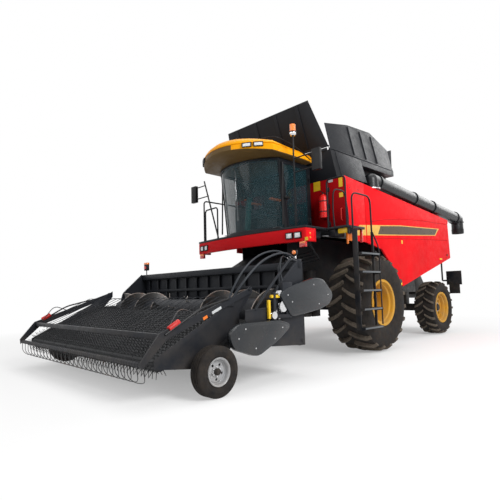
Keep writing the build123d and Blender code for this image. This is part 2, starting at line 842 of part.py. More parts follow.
def end_flap(hinge_y, lean, height, foot_half, top_half, forward):
    """Front or rear flap, leaning away from the bin, hinged along X."""
    turn = -1 if forward else 1
    tilt = radians(lean)
    plane = Plane(
        origin=(0, hinge_y, end_hinge_z),
        x_dir=(-turn, 0, 0),
        z_dir=(0, turn * cos(tilt), -sin(tilt)),
    )
    with BuildPart() as flap:
        with BuildSketch(plane):
            with BuildLine():
                Polyline(
                    (-foot_half, barrel_r - 4),
                    (foot_half, barrel_r - 4),
                    (top_half, height),
                    (-top_half, height),
                    close=True,
                )
            make_face()
        extrude(amount=flap_sheet)
        with BuildSketch(plane.offset(flap_sheet)):
            for rib_x in (-0.75, -0.25, 0.25, 0.75):
                with Locations((rib_x * top_half, height / 2 + 20)):
                    Rectangle(60, height - 80)
        extrude(amount=24)
        with Locations((0, hinge_y, end_hinge_z)):
            Cylinder(barrel_r, 2 * foot_half, rotation=(0, 90, 0))
            Cylinder(pin_r + running_fit, 2 * foot_half + 2, rotation=(0, 90, 0), mode=Mode.SUBTRACT)
    return flap.part


def side_flap(side):
    """Left or right flap with its folded corner webs, hinged along Y."""
    tilt = radians(side_flap_lean)
    plane = Plane(
        origin=(side * (rim_half_w - barrel_r - 2), 0, side_hinge_z),
        x_dir=(0, side, 0),
        z_dir=(side * cos(tilt), 0, sin(tilt)),
    )
    front = rim_front_y + 20
    rear = tank_rear_y - 20
    crease_front = front_axle_y + 150
    crease_rear = front_axle_y + 1100
    with BuildPart() as flap:
        with BuildSketch(plane):
            with BuildLine():
                Polyline(
                    (side * front, barrel_r - 4),
                    (side * front, side_flap_h * 0.68),
                    (side * crease_front, side_flap_h * 0.92),
                    (side * crease_rear, side_flap_h),
                    (side * rear, side_flap_h * 0.64),
                    (side * rear, barrel_r - 4),
                    close=True,
                )
            make_face()
        extrude(amount=flap_sheet)
        with BuildSketch(plane.offset(flap_sheet)):
            for rib_y in (crease_front, lerp(crease_front, crease_rear, 0.5), crease_rear):
                with Locations((side * rib_y, side_flap_h * 0.46)):
                    Rectangle(50, side_flap_h * 0.8)
        extrude(amount=18)
        mid = (front + rear) / 2
        with Locations((plane.origin.X, mid, side_hinge_z)):
            Cylinder(barrel_r, rear - front, rotation=(90, 0, 0))
            Cylinder(pin_r + running_fit, rear - front + 2, rotation=(90, 0, 0), mode=Mode.SUBTRACT)
    return flap.part


with BuildPart() as flap_front:
    add(end_flap(rim_front_y, flap_lean, front_flap_h, flap_foot_half_w, front_flap_top_half_w, True))
flap_front.part.label = "flap_front"
export_step(flap_front.part, "parts/flap_front.step")

with BuildPart() as flap_rear:
    add(end_flap(
        tank_rear_y, rear_flap_lean, rear_flap_h, flap_foot_half_w, rear_flap_top_half_w, False
    ))
flap_rear.part.label = "flap_rear"
export_step(flap_rear.part, "parts/flap_rear.step")

with BuildPart() as flap_left:
    add(side_flap(1))
flap_left.part.label = "flap_left"
export_step(flap_left.part, "parts/flap_left.step")

with BuildPart() as flap_right:
    add(side_flap(-1))
flap_right.part.label = "flap_right"
export_step(flap_right.part, "parts/flap_right.step")

# Platform: deck, landing over the ladder and bearers on the housing
landing_x = body_half_w + 400
landing_front_y = front_axle_y - 1150
ladder_front_y = front_axle_y - 1110
ladder_axis_x = landing_x + 30
ladder_pin_r = 11
with BuildPart() as platform:
    with BuildSketch(Plane.XY.offset(platform_z)):
        with BuildLine():
            ThreePointArc(
                (-platform_half_w, platform_front_y), (0, platform_nose_y), (platform_half_w, platform_front_y)
            )
            Polyline(
                (platform_half_w, platform_front_y),
                (platform_half_w, landing_front_y),
                (landing_x, landing_front_y),
                (landing_x, body_front_y - 15),
                (-platform_half_w, body_front_y - 15),
                (-platform_half_w, platform_front_y),
            )
        make_face()
    extrude(amount=platform_t)
    for side in (-1, 1):
        with Locations((side * 500, (housing_front_y + platform_front_y) / 2, platform_z - 80)):
            Box(80, housing_front_y - platform_front_y, 160)
    with Locations((landing_x - 10, ladder_front_y + 10, platform_z - 60)):
        Box(20, 60, 120)
    for plate_z in (platform_z - 8, platform_z - 112):
        with Locations(((landing_x + ladder_axis_x + 16) / 2, ladder_front_y, plate_z)):
            Box(ladder_axis_x + 16 - landing_x, 32, 16)
    with Locations((ladder_axis_x, ladder_front_y, platform_z - 60)):
        Cylinder(ladder_pin_r, 120)
platform.part.label = "platform"
export_step(platform.part, "parts/platform.step")

# Bumper: curved band under the front edge of the deck, with short returns and lamp openings
return_len = 300
lamp_w = 140
lamp_h = 110
lamp_z = platform_z - 125
bumper_sweep = (platform_half_w**2 + (platform_front_y - platform_nose_y) ** 2) / (
    2 * (platform_front_y - platform_nose_y)
)
bumper_lamps = []
for lamp_side in (-1, 1):
    for lamp_x in (platform_half_w - 330, platform_half_w - 160):
        lamp_turn = lamp_side * degrees(atan2(lamp_x, bumper_sweep))
        lamp_y = platform_nose_y + lamp_x**2 / (2 * bumper_sweep)
        bumper_lamps.append(Location((lamp_side * lamp_x, lamp_y + bumper_t / 2, lamp_z), (0, 0, lamp_turn)))
with BuildPart() as bumper:
    with BuildSketch(Plane.XY.offset(platform_z)):
        with BuildLine():
            ThreePointArc(
                (-platform_half_w, platform_front_y), (0, platform_nose_y), (platform_half_w, platform_front_y)
            )
            Polyline(
                (platform_half_w, platform_front_y),
                (platform_half_w, platform_front_y + return_len),
                (platform_half_w - bumper_t, platform_front_y + return_len),
                (platform_half_w - bumper_t, platform_front_y + bumper_t),
            )
            ThreePointArc(
                (platform_half_w - bumper_t, platform_front_y + bumper_t),
                (0, platform_nose_y + bumper_t),
                (-platform_half_w + bumper_t, platform_front_y + bumper_t),
            )
            Polyline(
                (-platform_half_w + bumper_t, platform_front_y + bumper_t),
                (-platform_half_w + bumper_t, platform_front_y + return_len),
                (-platform_half_w, platform_front_y + return_len),
                (-platform_half_w, platform_front_y),
            )
        make_face()
    extrude(amount=-bumper_h)
    for lamp_place in bumper_lamps:
        with Locations(lamp_place):
            Box(lamp_w + 2 * seat_gap, 100, lamp_h + 2 * seat_gap, mode=Mode.SUBTRACT)
bumper.part.label = "bumper"
export_step(bumper.part, "parts/bumper.step")

# Cab: floor, rear wall, pillars, head frame and the door's hinge pins
floor_top_z = cab_floor_z + cab_floor_t
rear_wall_top_z = 3000
door_hinge_x = cab_half_w + 22
door_hinge_y = cab_rear_y - pillar - 12
door_barrel_r = 12
door_pin_r = 7
door_hinge_h = 90
door_hinges_z = (floor_top_z + 200, cab_head_z - 200)


def cab_plan(z, grow=0.0):
    """Closed plan of the cab at height z: straight sides and a curved front."""
    t = (z - floor_top_z) / (cab_head_z - floor_top_z)
    side_y = lerp(screen_foot_y, screen_head_y, t) - grow
    nose_y = lerp(screen_foot_nose_y, screen_head_nose_y, t) - grow
    half = cab_half_w + grow
    Polyline((-half, side_y), (-half, cab_rear_y + grow), (half, cab_rear_y + grow), (half, side_y))
    ThreePointArc((half, side_y), (0, nose_y), (-half, side_y))


with BuildPart() as cab_shell:
    with BuildSketch(Plane.XY.offset(cab_floor_z)):
        with BuildLine():
            cab_plan(floor_top_z)
        make_face()
    extrude(amount=cab_floor_t)
    with Locations((0, cab_rear_y - pillar / 2, (floor_top_z + rear_wall_top_z) / 2)):
        Box(2 * (cab_half_w - pillar), 30, rear_wall_top_z - floor_top_z)
    for side in (-1, 1):
        pillar_x = side * (cab_half_w - pillar / 2)
        with Locations((pillar_x, cab_rear_y - pillar / 2, (floor_top_z + cab_head_z) / 2)):
            Box(pillar, pillar, cab_head_z - floor_top_z)
        with BuildSketch(Plane.XY.offset(floor_top_z)):
            with Locations((side * (cab_half_w - pillar / 2), screen_foot_y + pillar / 2)):
                Rectangle(pillar, pillar)
        with BuildSketch(Plane.XY.offset(cab_head_z)):
            with Locations((side * (cab_half_w - pillar / 2), screen_head_y + pillar / 2)):
                Rectangle(pillar, pillar)
        loft()
    with BuildSketch(Plane.XY.offset(cab_head_z)):
        with BuildLine():
            cab_plan(cab_head_z)
        make_face()
        with BuildLine():
            cab_plan(cab_head_z, -90)
        make_face(mode=Mode.SUBTRACT)
    extrude(amount=cab_head_t)
    for hinge_z in door_hinges_z:
        with Locations((door_hinge_x, door_hinge_y, hinge_z)):
            Cylinder(door_pin_r, door_hinge_h + 40)
        for level in (-1, 1):
            bracket_z = hinge_z + level * (door_hinge_h / 2 + 14)
            with Locations((door_hinge_x, door_hinge_y + 10, bracket_z)):
                Box(20, 40, 12)
            with Locations((cab_half_w + 16, door_hinge_y + 22, bracket_z)):
                Box(32, 16, 12)
cab_shell.part.label = "cab_shell"
export_step(cab_shell.part, "parts/cab_shell.step")

# Cab glass: curved windscreen, right side pane and rear pane
screen_half = cab_half_w - pillar - 1
with BuildPart() as cab_glass:
    for z, side_y, nose_y in (
        (floor_top_z + seat_gap, screen_foot_y, screen_foot_nose_y),
        (cab_head_z - seat_gap, screen_head_y, screen_head_nose_y),
    ):
        with BuildSketch(Plane.XY.offset(z)):
            with BuildLine():
                ThreePointArc((-screen_half, side_y), (0, nose_y), (screen_half, side_y))
                Line((screen_half, side_y), (screen_half, side_y + glass_t))
                ThreePointArc(
                    (screen_half, side_y + glass_t), (0, nose_y + glass_t), (-screen_half, side_y + glass_t)
                )
                Line((-screen_half, side_y + glass_t), (-screen_half, side_y))
            make_face()
    loft(ruled=True)
    with BuildSketch(yz_plane(-cab_half_w + 12)):
        with BuildLine():
            side_outline(
                [
                    (screen_foot_y + pillar + 2, floor_top_z + seat_gap),
                    (cab_rear_y - pillar - seat_gap, floor_top_z + seat_gap),
                    (cab_rear_y - pillar - seat_gap, cab_head_z - seat_gap),
                    (screen_head_y + pillar + 2, cab_head_z - seat_gap),
                ]
            )
        make_face()
    extrude(amount=glass_t)
    with Locations((0, cab_rear_y - pillar / 2, (rear_wall_top_z + cab_head_z) / 2)):
        Box(2 * (cab_half_w - pillar) - 2, glass_t, cab_head_z - rear_wall_top_z - 2 * seat_gap)
cab_glass.part.label = "cab_glass"
export_step(cab_glass.part, "parts/cab_glass.step")

# Cab door on the left: frame with hinge lugs at its rear edge, and its pane
door_clear = 8
door_frame = 45
door_t = 36
door_points = [
    (screen_foot_y + pillar + door_clear, floor_top_z + door_clear),
    (cab_rear_y - pillar - door_clear, floor_top_z + door_clear),
    (cab_rear_y - pillar - door_clear, cab_head_z - door_clear),
    (screen_head_y + pillar + door_clear, cab_head_z - door_clear),
]
with BuildPart() as cab_door:
    with BuildSketch(yz_plane(cab_half_w)):
        with BuildLine():
            side_outline(door_points)
        make_face()
    extrude(amount=-door_t)
    with BuildSketch(yz_plane(cab_half_w)):
        with BuildLine():
            side_outline(door_points)
        make_face()
        offset(amount=-door_frame, kind=Kind.INTERSECTION, mode=Mode.REPLACE)
    extrude(amount=-door_t, mode=Mode.SUBTRACT)
    for hinge_z in door_hinges_z:
        with Locations((door_hinge_x, door_hinge_y, hinge_z)):
            Cylinder(door_barrel_r, door_hinge_h)
            Cylinder(door_pin_r + running_fit, door_hinge_h + 2, mode=Mode.SUBTRACT)
        with Locations((cab_half_w + 7, door_hinge_y - 18, hinge_z)):
            Box(14, 20, door_hinge_h)
cab_door.part.label = "cab_door"
export_step(cab_door.part, "parts/cab_door.step")

with BuildPart() as cab_door_glass:
    with BuildSketch(yz_plane(cab_half_w - 12)):
        with BuildLine():
            side_outline(door_points)
        make_face()
        offset(amount=-door_frame - seat_gap, kind=Kind.INTERSECTION, mode=Mode.REPLACE)
    extrude(amount=-glass_t)
cab_door_glass.part.label = "cab_door_glass"
export_step(cab_door_glass.part, "parts/cab_door_glass.step")

# Cab roof: curved plan with a visor, crowned and falling to the rear
roof_bottom_z = cab_head_z + cab_head_t
visor_lamp_r = 54
visor_lamp_depth = 50
visor_depth = roof_shoulder_y - roof_nose_y
visor_sweep = (roof_half_w**2 + visor_depth**2) / (2 * visor_depth)
visor_lamps = []
for lamp_turn in (-34, -21, -9, 9, 21, 34):
    lamp_x = visor_sweep * sin(radians(lamp_turn))
    lamp_y = roof_nose_y + visor_sweep * (1 - cos(radians(lamp_turn)))
    lamp_dir = (sin(radians(lamp_turn)), -cos(radians(lamp_turn)), 0)
    visor_lamps.append(Location(Plane(origin=(lamp_x, lamp_y, roof_bottom_z + 150), z_dir=lamp_dir)))
with BuildPart() as cab_roof:
    with BuildSketch(Plane.XY.offset(roof_bottom_z)):
        with BuildLine():
            ThreePointArc((-roof_half_w, roof_shoulder_y), (0, roof_nose_y), (roof_half_w, roof_shoulder_y))
            Polyline(
                (roof_half_w, roof_shoulder_y),
                (roof_half_w, roof_tail_y - 380),
                (roof_half_w - 60, roof_tail_y),
                (-roof_half_w + 60, roof_tail_y),
                (-roof_half_w, roof_tail_y - 380),
                (-roof_half_w, roof_shoulder_y),
            )
        make_face()
    extrude(amount=roof_crown_z - roof_bottom_z)
    with BuildSketch(xz_plane(0)):
        with BuildLine():
            Line((-roof_half_w - 50, roof_side_z - 20), (-roof_half_w - 50, roof_bottom_z - 50))
            Line((-roof_half_w - 50, roof_bottom_z - 50), (roof_half_w + 50, roof_bottom_z - 50))
            Line((roof_half_w + 50, roof_bottom_z - 50), (roof_half_w + 50, roof_side_z - 20))
            ThreePointArc(
                (roof_half_w + 50, roof_side_z - 20), (0, roof_crown_z), (-roof_half_w - 50, roof_side_z - 20)
            )
        make_face()
    extrude(amount=4000, both=True, mode=Mode.INTERSECT)
    with BuildSketch(yz_plane(0)):
        with BuildLine():
            Line((roof_nose_y - 10, roof_bottom_z + 80), (roof_nose_y - 10, roof_bottom_z + 230))
            ThreePointArc(
                (roof_nose_y - 10, roof_bottom_z + 230),
                (lerp(roof_nose_y, roof_tail_y, 0.35), roof_crown_z),
                (roof_tail_y + 10, roof_bottom_z + 60),
            )
            Polyline(
                (roof_tail_y + 10, roof_bottom_z + 60),
                (roof_tail_y + 10, roof_bottom_z),
                (screen_head_nose_y, roof_bottom_z),
                (roof_nose_y - 10, roof_bottom_z + 80),
            )
        make_face()
    extrude(amount=2000, both=True, mode=Mode.INTERSECT)
    for lamp_place in visor_lamps:
        with Locations(lamp_place):
            Cylinder(visor_lamp_r + seat_gap, 2 * visor_lamp_depth, mode=Mode.SUBTRACT)
cab_roof.part.label = "cab_roof"
export_step(cab_roof.part, "parts/cab_roof.step")

# Work lamps: round ones in the visor, square ones in the bumper
with BuildPart() as work_lamps:
    for lamp_place in visor_lamps:
        with Locations(lamp_place):
            with Locations((0, 0, -visor_lamp_depth / 2 + 6)):
                Cylinder(visor_lamp_r, visor_lamp_depth)
    for lamp_place in bumper_lamps:
        with Locations(lamp_place):
            Box(lamp_w, bumper_t + 16, lamp_h)
work_lamps.part.label = "work_lamps"
export_step(work_lamps.part, "parts/work_lamps.step")

# Cab interior: seat, console and steering column, standing on the floor
seat_y = cab_rear_y - 420
with BuildPart() as cab_interior:
    with Locations((0, seat_y, floor_top_z + 190)):
        Box(300, 320, 380)
    with Locations((0, seat_y - 20, floor_top_z + 440)):
        Box(520, 500, 120)
    with BuildSketch(yz_plane(-240)):
        with BuildLine():
            side_outline(
                [
                    (seat_y + 130, floor_top_z + 500),
                    (seat_y + 240, floor_top_z + 500),
                    (seat_y + 330, floor_top_z + 1130),
                    (seat_y + 250, floor_top_z + 1130),
                ]
            )
        make_face()
    extrude(amount=480)
    with Locations((-400, seat_y - 160, floor_top_z + 290)):
        Box(180, 620, 580)
    with BuildSketch(yz_plane(-45)):
        with BuildLine():
            side_outline(
                [
                    (seat_y - 640, floor_top_z),
                    (seat_y - 540, floor_top_z),
                    (seat_y - 470, floor_top_z + 700),
                    (seat_y - 540, floor_top_z + 720),
                ]
            )
        make_face()
    extrude(amount=90)
    wheel_tilt = 25
    wheel_centre = (0, seat_y - 510, floor_top_z + 735)
    with Locations(Location(wheel_centre, (wheel_tilt, 0, 0))):
        Torus(190, 14)
        Cylinder(40, 30)
        Box(380, 26, 12)
cab_interior.part.label = "cab_interior"
export_step(cab_interior.part, "parts/cab_interior.step")

# Mirrors: masts on the platform with two-armed heads, and the beacon on the left mast
mast_r = 16
mirror_x = platform_half_w + 240
mirror_y = platform_front_y + 80
mirror_z = 3480
mirror_w = 170
mirror_h = 380
mast_left = (platform_half_w - 300, platform_front_y + 110)
mast_right_foot = (-platform_half_w + 720, platform_front_y - 30)
mast_right_top = (-platform_half_w + 140, platform_front_y + 70)
mast_top_z = 3720
beacon_foot_z = 4110
with BuildPart() as mirrors:
    with BuildLine() as left_pole:
        Line(
            (mast_left[0], mast_left[1], platform_z + platform_t),
            (mast_left[0], mast_left[1], beacon_foot_z),
        )
    with BuildSketch(Plane(origin=left_pole.line @ 0, z_dir=left_pole.line % 0)):
        Circle(mast_r)
    sweep(path=left_pole.line)
    with BuildLine() as right_pole:
        Line(
            (mast_right_foot[0], mast_right_foot[1], platform_z + platform_t + 8),
            (mast_right_top[0], mast_right_top[1], mast_top_z),
        )
    with BuildSketch(Plane(origin=right_pole.line @ 0, z_dir=right_pole.line % 0)):
        Circle(mast_r)
    sweep(path=right_pole.line)
    with Locations((mast_right_foot[0], mast_right_foot[1], platform_z + platform_t + 5)):
        Cylinder(40, 10)
    for arm_z in (mirror_z + 140, mirror_z - 120):
        for side, from_x, from_y in (
            (1, mast_left[0], mast_left[1]),
            (-1, mast_right_top[0], mast_right_top[1]),
        ):
            start_x = from_x + (0 if side > 0 else 580 * (mast_top_z - arm_z) / (mast_top_z - platform_z))
            with BuildLine() as arm:
                Line((start_x, from_y, arm_z), (side * (mirror_x - 60), mirror_y, arm_z))
            with BuildSketch(Plane(origin=arm.line @ 0, z_dir=arm.line % 0)):
                Circle(mast_r - 4)
            sweep(path=arm.line)
    for side in (-1, 1):
        with Locations((side * mirror_x, mirror_y, mirror_z)):
            Box(mirror_w, 70, mirror_h)
    with Locations((mast_left[0], mast_left[1], beacon_foot_z + 15)):
        Cylinder(60, 30)
    with Locations((mast_left[0], mast_left[1], beacon_foot_z + 30 + 65)):
        Cylinder(55, 130)
mirrors.part.label = "mirrors"
export_step(mirrors.part, "parts/mirrors.step")

# Handrails: loops on the platform's front right corner, right side and landing
rail_r = 16
deck_top_z = platform_z + platform_t


def rail_loop(start, end, height):
    """Tube that rises from start, runs level and comes down at end."""
    top_start = (start[0], start[1], start[2] + height)
    top_end = (end[0], end[1], end[2] + height)
    with BuildPart() as loop:
        with BuildLine() as path:
            FilletPolyline(start, top_start, top_end, end, radius=70)
        with BuildSketch(Plane(origin=path.line @ 0, z_dir=path.line % 0)):
            Circle(rail_r)
        sweep(path=path.line)
    return loop.part


with BuildPart() as handrails:
    add(rail_loop(
        (-platform_half_w + 90, platform_front_y + 130, deck_top_z),
        (-platform_half_w + 560, platform_front_y + 90, deck_top_z),
        720,
    ))
    add(rail_loop(
        (-platform_half_w + 30, front_axle_y - 1620, deck_top_z),
        (-platform_half_w + 30, front_axle_y - 620, deck_top_z),
        950,
    ))
    add(rail_loop(
        (platform_half_w + 30, landing_front_y + 30, deck_top_z),
        (landing_x - 30, landing_front_y + 30, deck_top_z),
        900,
    ))
handrails.part.label = "handrails"
export_step(handrails.part, "parts/handrails.step")

# Fire extinguisher on the front wall
bottle_r = 90
bottle_h = 480
bottle_x = body_half_w - 450
bottle_z = cab_floor_z + 520
with BuildPart() as extinguisher:
    with Locations((bottle_x, body_front_y - bottle_r - 6, bottle_z)):
        Cylinder(bottle_r, bottle_h)
    with Locations((bottle_x, body_front_y - 5, bottle_z)):
        Box(90, 10, 300)
    with Locations((bottle_x, body_front_y - bottle_r - 6, bottle_z + bottle_h / 2 + 35)):
        Cylinder(25, 70)
extinguisher.part.label = "extinguisher"
export_step(extinguisher.part, "parts/extinguisher.step")

# Ladder: stiles that run on upwards as handrails, steps between them
ladder_x = landing_x + 60
ladder_rear_y = front_axle_y - 480
ladder_foot_z = 500
ladder_top_z = 2920
step_pitch = 325
step_depth = 170
rear_stile_w = 70
stile_t = 30
with BuildPart() as ladder:
    for stile_y, stile_w in ((ladder_front_y, step_depth), (ladder_rear_y, rear_stile_w)):
        with Locations((ladder_x + stile_w / 2, stile_y, (ladder_foot_z + 2250) / 2)):
            Box(stile_w, stile_t, 2250 - ladder_foot_z)
    with BuildLine() as grip:
        FilletPolyline(
            (ladder_x + 20, ladder_front_y, 2150),
            (ladder_x + 20, ladder_front_y, ladder_top_z),
            (ladder_x + 20, ladder_rear_y, ladder_top_z),
            (ladder_x + 20, ladder_rear_y, 2150),
            radius=140,
        )
    with BuildSketch(Plane(origin=grip.line @ 0, z_dir=grip.line % 0)):
        Circle(rail_r)
    sweep(path=grip.line)
    with Locations((ladder_axis_x, ladder_front_y, platform_z - 60)):
        Cylinder(18, 82)
    with Locations(((ladder_axis_x + ladder_x + 10) / 2, ladder_front_y, platform_z - 60)):
        Box(ladder_x + 10 - ladder_axis_x, 20, 82)
    with Locations((ladder_axis_x, ladder_front_y, platform_z - 60)):
        Cylinder(ladder_pin_r + running_fit, 120, mode=Mode.SUBTRACT)
    for i in range(5):
        step_z = ladder_foot_z + 20 + i * step_pitch
        with Locations((ladder_x + step_depth / 2, (ladder_front_y + ladder_rear_y) / 2, step_z)):
            Box(step_depth, ladder_rear_y - ladder_front_y, 40)
ladder.part.label = "ladder"
export_step(ladder.part, "parts/ladder.step")

# Unloading auger: a tube that lies back along the body
spout_len = 420
unload_axis = Plane(origin=(unload_x, unload_y, unload_z), z_dir=(0, 1, -unload_drop))
tube_end = unload_axis.from_local_coords((0, 0, unload_len))
with BuildPart() as unload_tube:
    with Locations((unload_x, unload_y, (riser_top_z + seat_gap + unload_z) / 2)):
        Cylinder(unload_r, unload_z - riser_top_z - seat_gap)
    with Locations((unload_x, unload_y, riser_top_z + seat_gap + 10)):
        Cylinder(unload_r + 30, 20)
    with Locations((unload_x, unload_y, unload_z)):
        Sphere(unload_r)
    with BuildSketch(unload_axis):
        Circle(unload_r)
    extrude(amount=unload_len)
    with Locations(tube_end):
        Sphere(unload_r)
    with Locations(tube_end - (0, 0, spout_len / 2)):
        Cylinder(unload_r, spout_len)
    with Locations(tube_end - (0, 0, spout_len / 2 + 30)):
        Cylinder(unload_r - 6, spout_len - 30, mode=Mode.SUBTRACT)
unload_tube.part.label = "unload_tube"
export_step(unload_tube.part, "parts/unload_tube.step")

# Tail lamp boards on bent pipes behind the rear wheels
board_x = body_half_w - 20
board_y = body_rear_y + 260
board_pipe_x = board_x - 230
board_z = 1440
board_h = 380
lower_board_h = 240
lower_board_w = 280
lower_board_t = 12
board_pipe_z = board_z - 70
with BuildPart() as tail_boards:
    for side in (-1, 1):
        with Locations((side * board_x, board_y, board_z)):
            Box(400, 30, board_h)
        with Locations((side * board_x, board_y, board_z - (board_h + lower_board_h) / 2)):
            Box(lower_board_w, lower_board_t, lower_board_h)
        with BuildLine() as bracket:
            FilletPolyline(
                (side * board_pipe_x, body_rear_y + 60 - deck_t / 2, panel_rear_bottom_z - 5),
                (side * board_pipe_x, body_rear_y + 60 - deck_t / 2, board_pipe_z),
                (side * board_pipe_x, board_y - 15 - 40, board_pipe_z),
                (side * (board_pipe_x + 70), board_y - 15 - 40, board_pipe_z),
                radius=30,
            )
        with BuildSketch(Plane(origin=bracket.line @ 0, z_dir=bracket.line % 0)):
            Circle(22)
        sweep(path=bracket.line)
        with Locations((side * (board_pipe_x + 100), board_y - 35, board_pipe_z)):
            Box(60, 40, 60)
        foot_z = panel_rear_bottom_z - seat_gap - 5
        with Locations((side * board_pipe_x, body_rear_y + 60 - deck_t / 2, foot_z)):
            Box(110, 70, 10)
tail_boards.part.label = "tail_boards"
export_step(tail_boards.part, "parts/tail_boards.step")

# Feeder house: a box that slopes down to the header, hinged in the housing's mouth
feeder_front_top_z = 1180
feeder_front_bottom_z = 540
feeder_wall = 14
with BuildPart() as feeder_house:
    with BuildSketch(yz_plane(-feeder_half_w)):
        with BuildLine():
            side_outline(
                [
                    (header_back_y, feeder_front_bottom_z),
                    (header_back_y, feeder_front_top_z),
                    (feeder_hinge_y - 120, feeder_hinge_z + 190),
                    (feeder_hinge_y + 150, feeder_hinge_z + 150),
                    (feeder_hinge_y + 150, feeder_hinge_z - 190),
                    (feeder_hinge_y - 100, feeder_hinge_z - 300),
                ]
            )
        make_face()
    extrude(amount=2 * feeder_half_w)
    with BuildSketch(yz_plane(-feeder_half_w + feeder_wall)):
        with BuildLine():
            side_outline(
                [
                    (header_back_y - 1, feeder_front_bottom_z + feeder_wall),
                    (header_back_y - 1, feeder_front_top_z - feeder_wall),
                    (feeder_hinge_y - 120, feeder_hinge_z + 190 - feeder_wall),
                    (feeder_hinge_y + 151, feeder_hinge_z + 150 - feeder_wall),
                    (feeder_hinge_y + 151, feeder_hinge_z - 190 + feeder_wall),
                    (feeder_hinge_y - 100, feeder_hinge_z - 300 + feeder_wall),
                ]
            )
        make_face()
    extrude(amount=2 * (feeder_half_w - feeder_wall), mode=Mode.SUBTRACT)
    for side in (-1, 1):
        boss_x = side * (feeder_half_w - feeder_wall / 2 - 30)
        with Locations((boss_x, feeder_hinge_y, feeder_hinge_z)):
            Cylinder(feeder_pin_r + 30, 60 + feeder_wall, rotation=(0, 90, 0))
    with Locations((0, feeder_hinge_y, feeder_hinge_z)):
        Cylinder(feeder_pin_r + running_fit, 2 * feeder_half_w + 2, rotation=(0, 90, 0), mode=Mode.SUBTRACT)
    for side in (-1, 1):
        for cheek in (-1, 1):
            with Locations((side * lift_x + cheek * lift_cheek, lift_eye_y, lift_eye_z + 60)):
                Box(lift_cheek_t, 110, 200)
        with Locations((side * lift_x, lift_eye_y, lift_eye_z)):
            Cylinder(lift_pin_r, 2 * lift_cheek + lift_cheek_t, rotation=(0, 90, 0))
feeder_house.part.label = "feeder_house"
export_step(feeder_house.part, "parts/feeder_house.step")

# Lift cylinders: barrels on the front axle, rods to the feeder house
lift_run = ((lift_eye_y - lift_foot_y) ** 2 + (lift_eye_z - lift_foot_z) ** 2) ** 0.5
lift_dir = (0, (lift_eye_y - lift_foot_y) / lift_run, (lift_eye_z - lift_foot_z) / lift_run)
barrel_len = 1120
gland_len = 60
with BuildPart() as lift_barrels:
    for side in (-1, 1):
        axis = Plane(origin=(side * lift_x, lift_foot_y, lift_foot_z), z_dir=lift_dir)
        with BuildSketch(axis.offset(80)):
            Circle(lift_barrel_r)
        extrude(amount=barrel_len - 80)
        with BuildSketch(axis.offset(110)):
            Circle(lift_barrel_r - 12)
        extrude(amount=barrel_len - 110 - gland_len, mode=Mode.SUBTRACT)
        with BuildSketch(axis.offset(barrel_len - gland_len - 1)):
            Circle(lift_rod_r + running_fit)
        extrude(amount=gland_len + 2, mode=Mode.SUBTRACT)
        with Locations((side * lift_x, lift_foot_y, lift_foot_z)):
            Cylinder(50, 2 * lift_cheek - lift_cheek_t - 12, rotation=(0, 90, 0))
        with BuildSketch(axis):
            Rectangle(50, 50)
        extrude(amount=84)
        with Locations((side * lift_x, lift_foot_y, lift_foot_z)):
            Cylinder(lift_pin_r + running_fit, 120, rotation=(0, 90, 0), mode=Mode.SUBTRACT)
lift_barrels.part.label = "lift_barrels"
export_step(lift_barrels.part, "parts/lift_barrels.step")

with BuildPart() as lift_rods:
    for side in (-1, 1):
        axis = Plane(origin=(side * lift_x, lift_foot_y, lift_foot_z), z_dir=lift_dir)
        with BuildSketch(axis.offset(barrel_len - 560)):
            Circle(lift_rod_r)
        extrude(amount=lift_run - barrel_len + 560 - 30)
        with Locations((side * lift_x, lift_eye_y, lift_eye_z)):
            Cylinder(48, 2 * lift_cheek - lift_cheek_t - 12, rotation=(0, 90, 0))
            Cylinder(lift_pin_r + lift_eye_play, 120, rotation=(0, 90, 0), mode=Mode.SUBTRACT)
lift_rods.part.label = "lift_rods"
export_step(lift_rods.part, "parts/lift_rods.step")

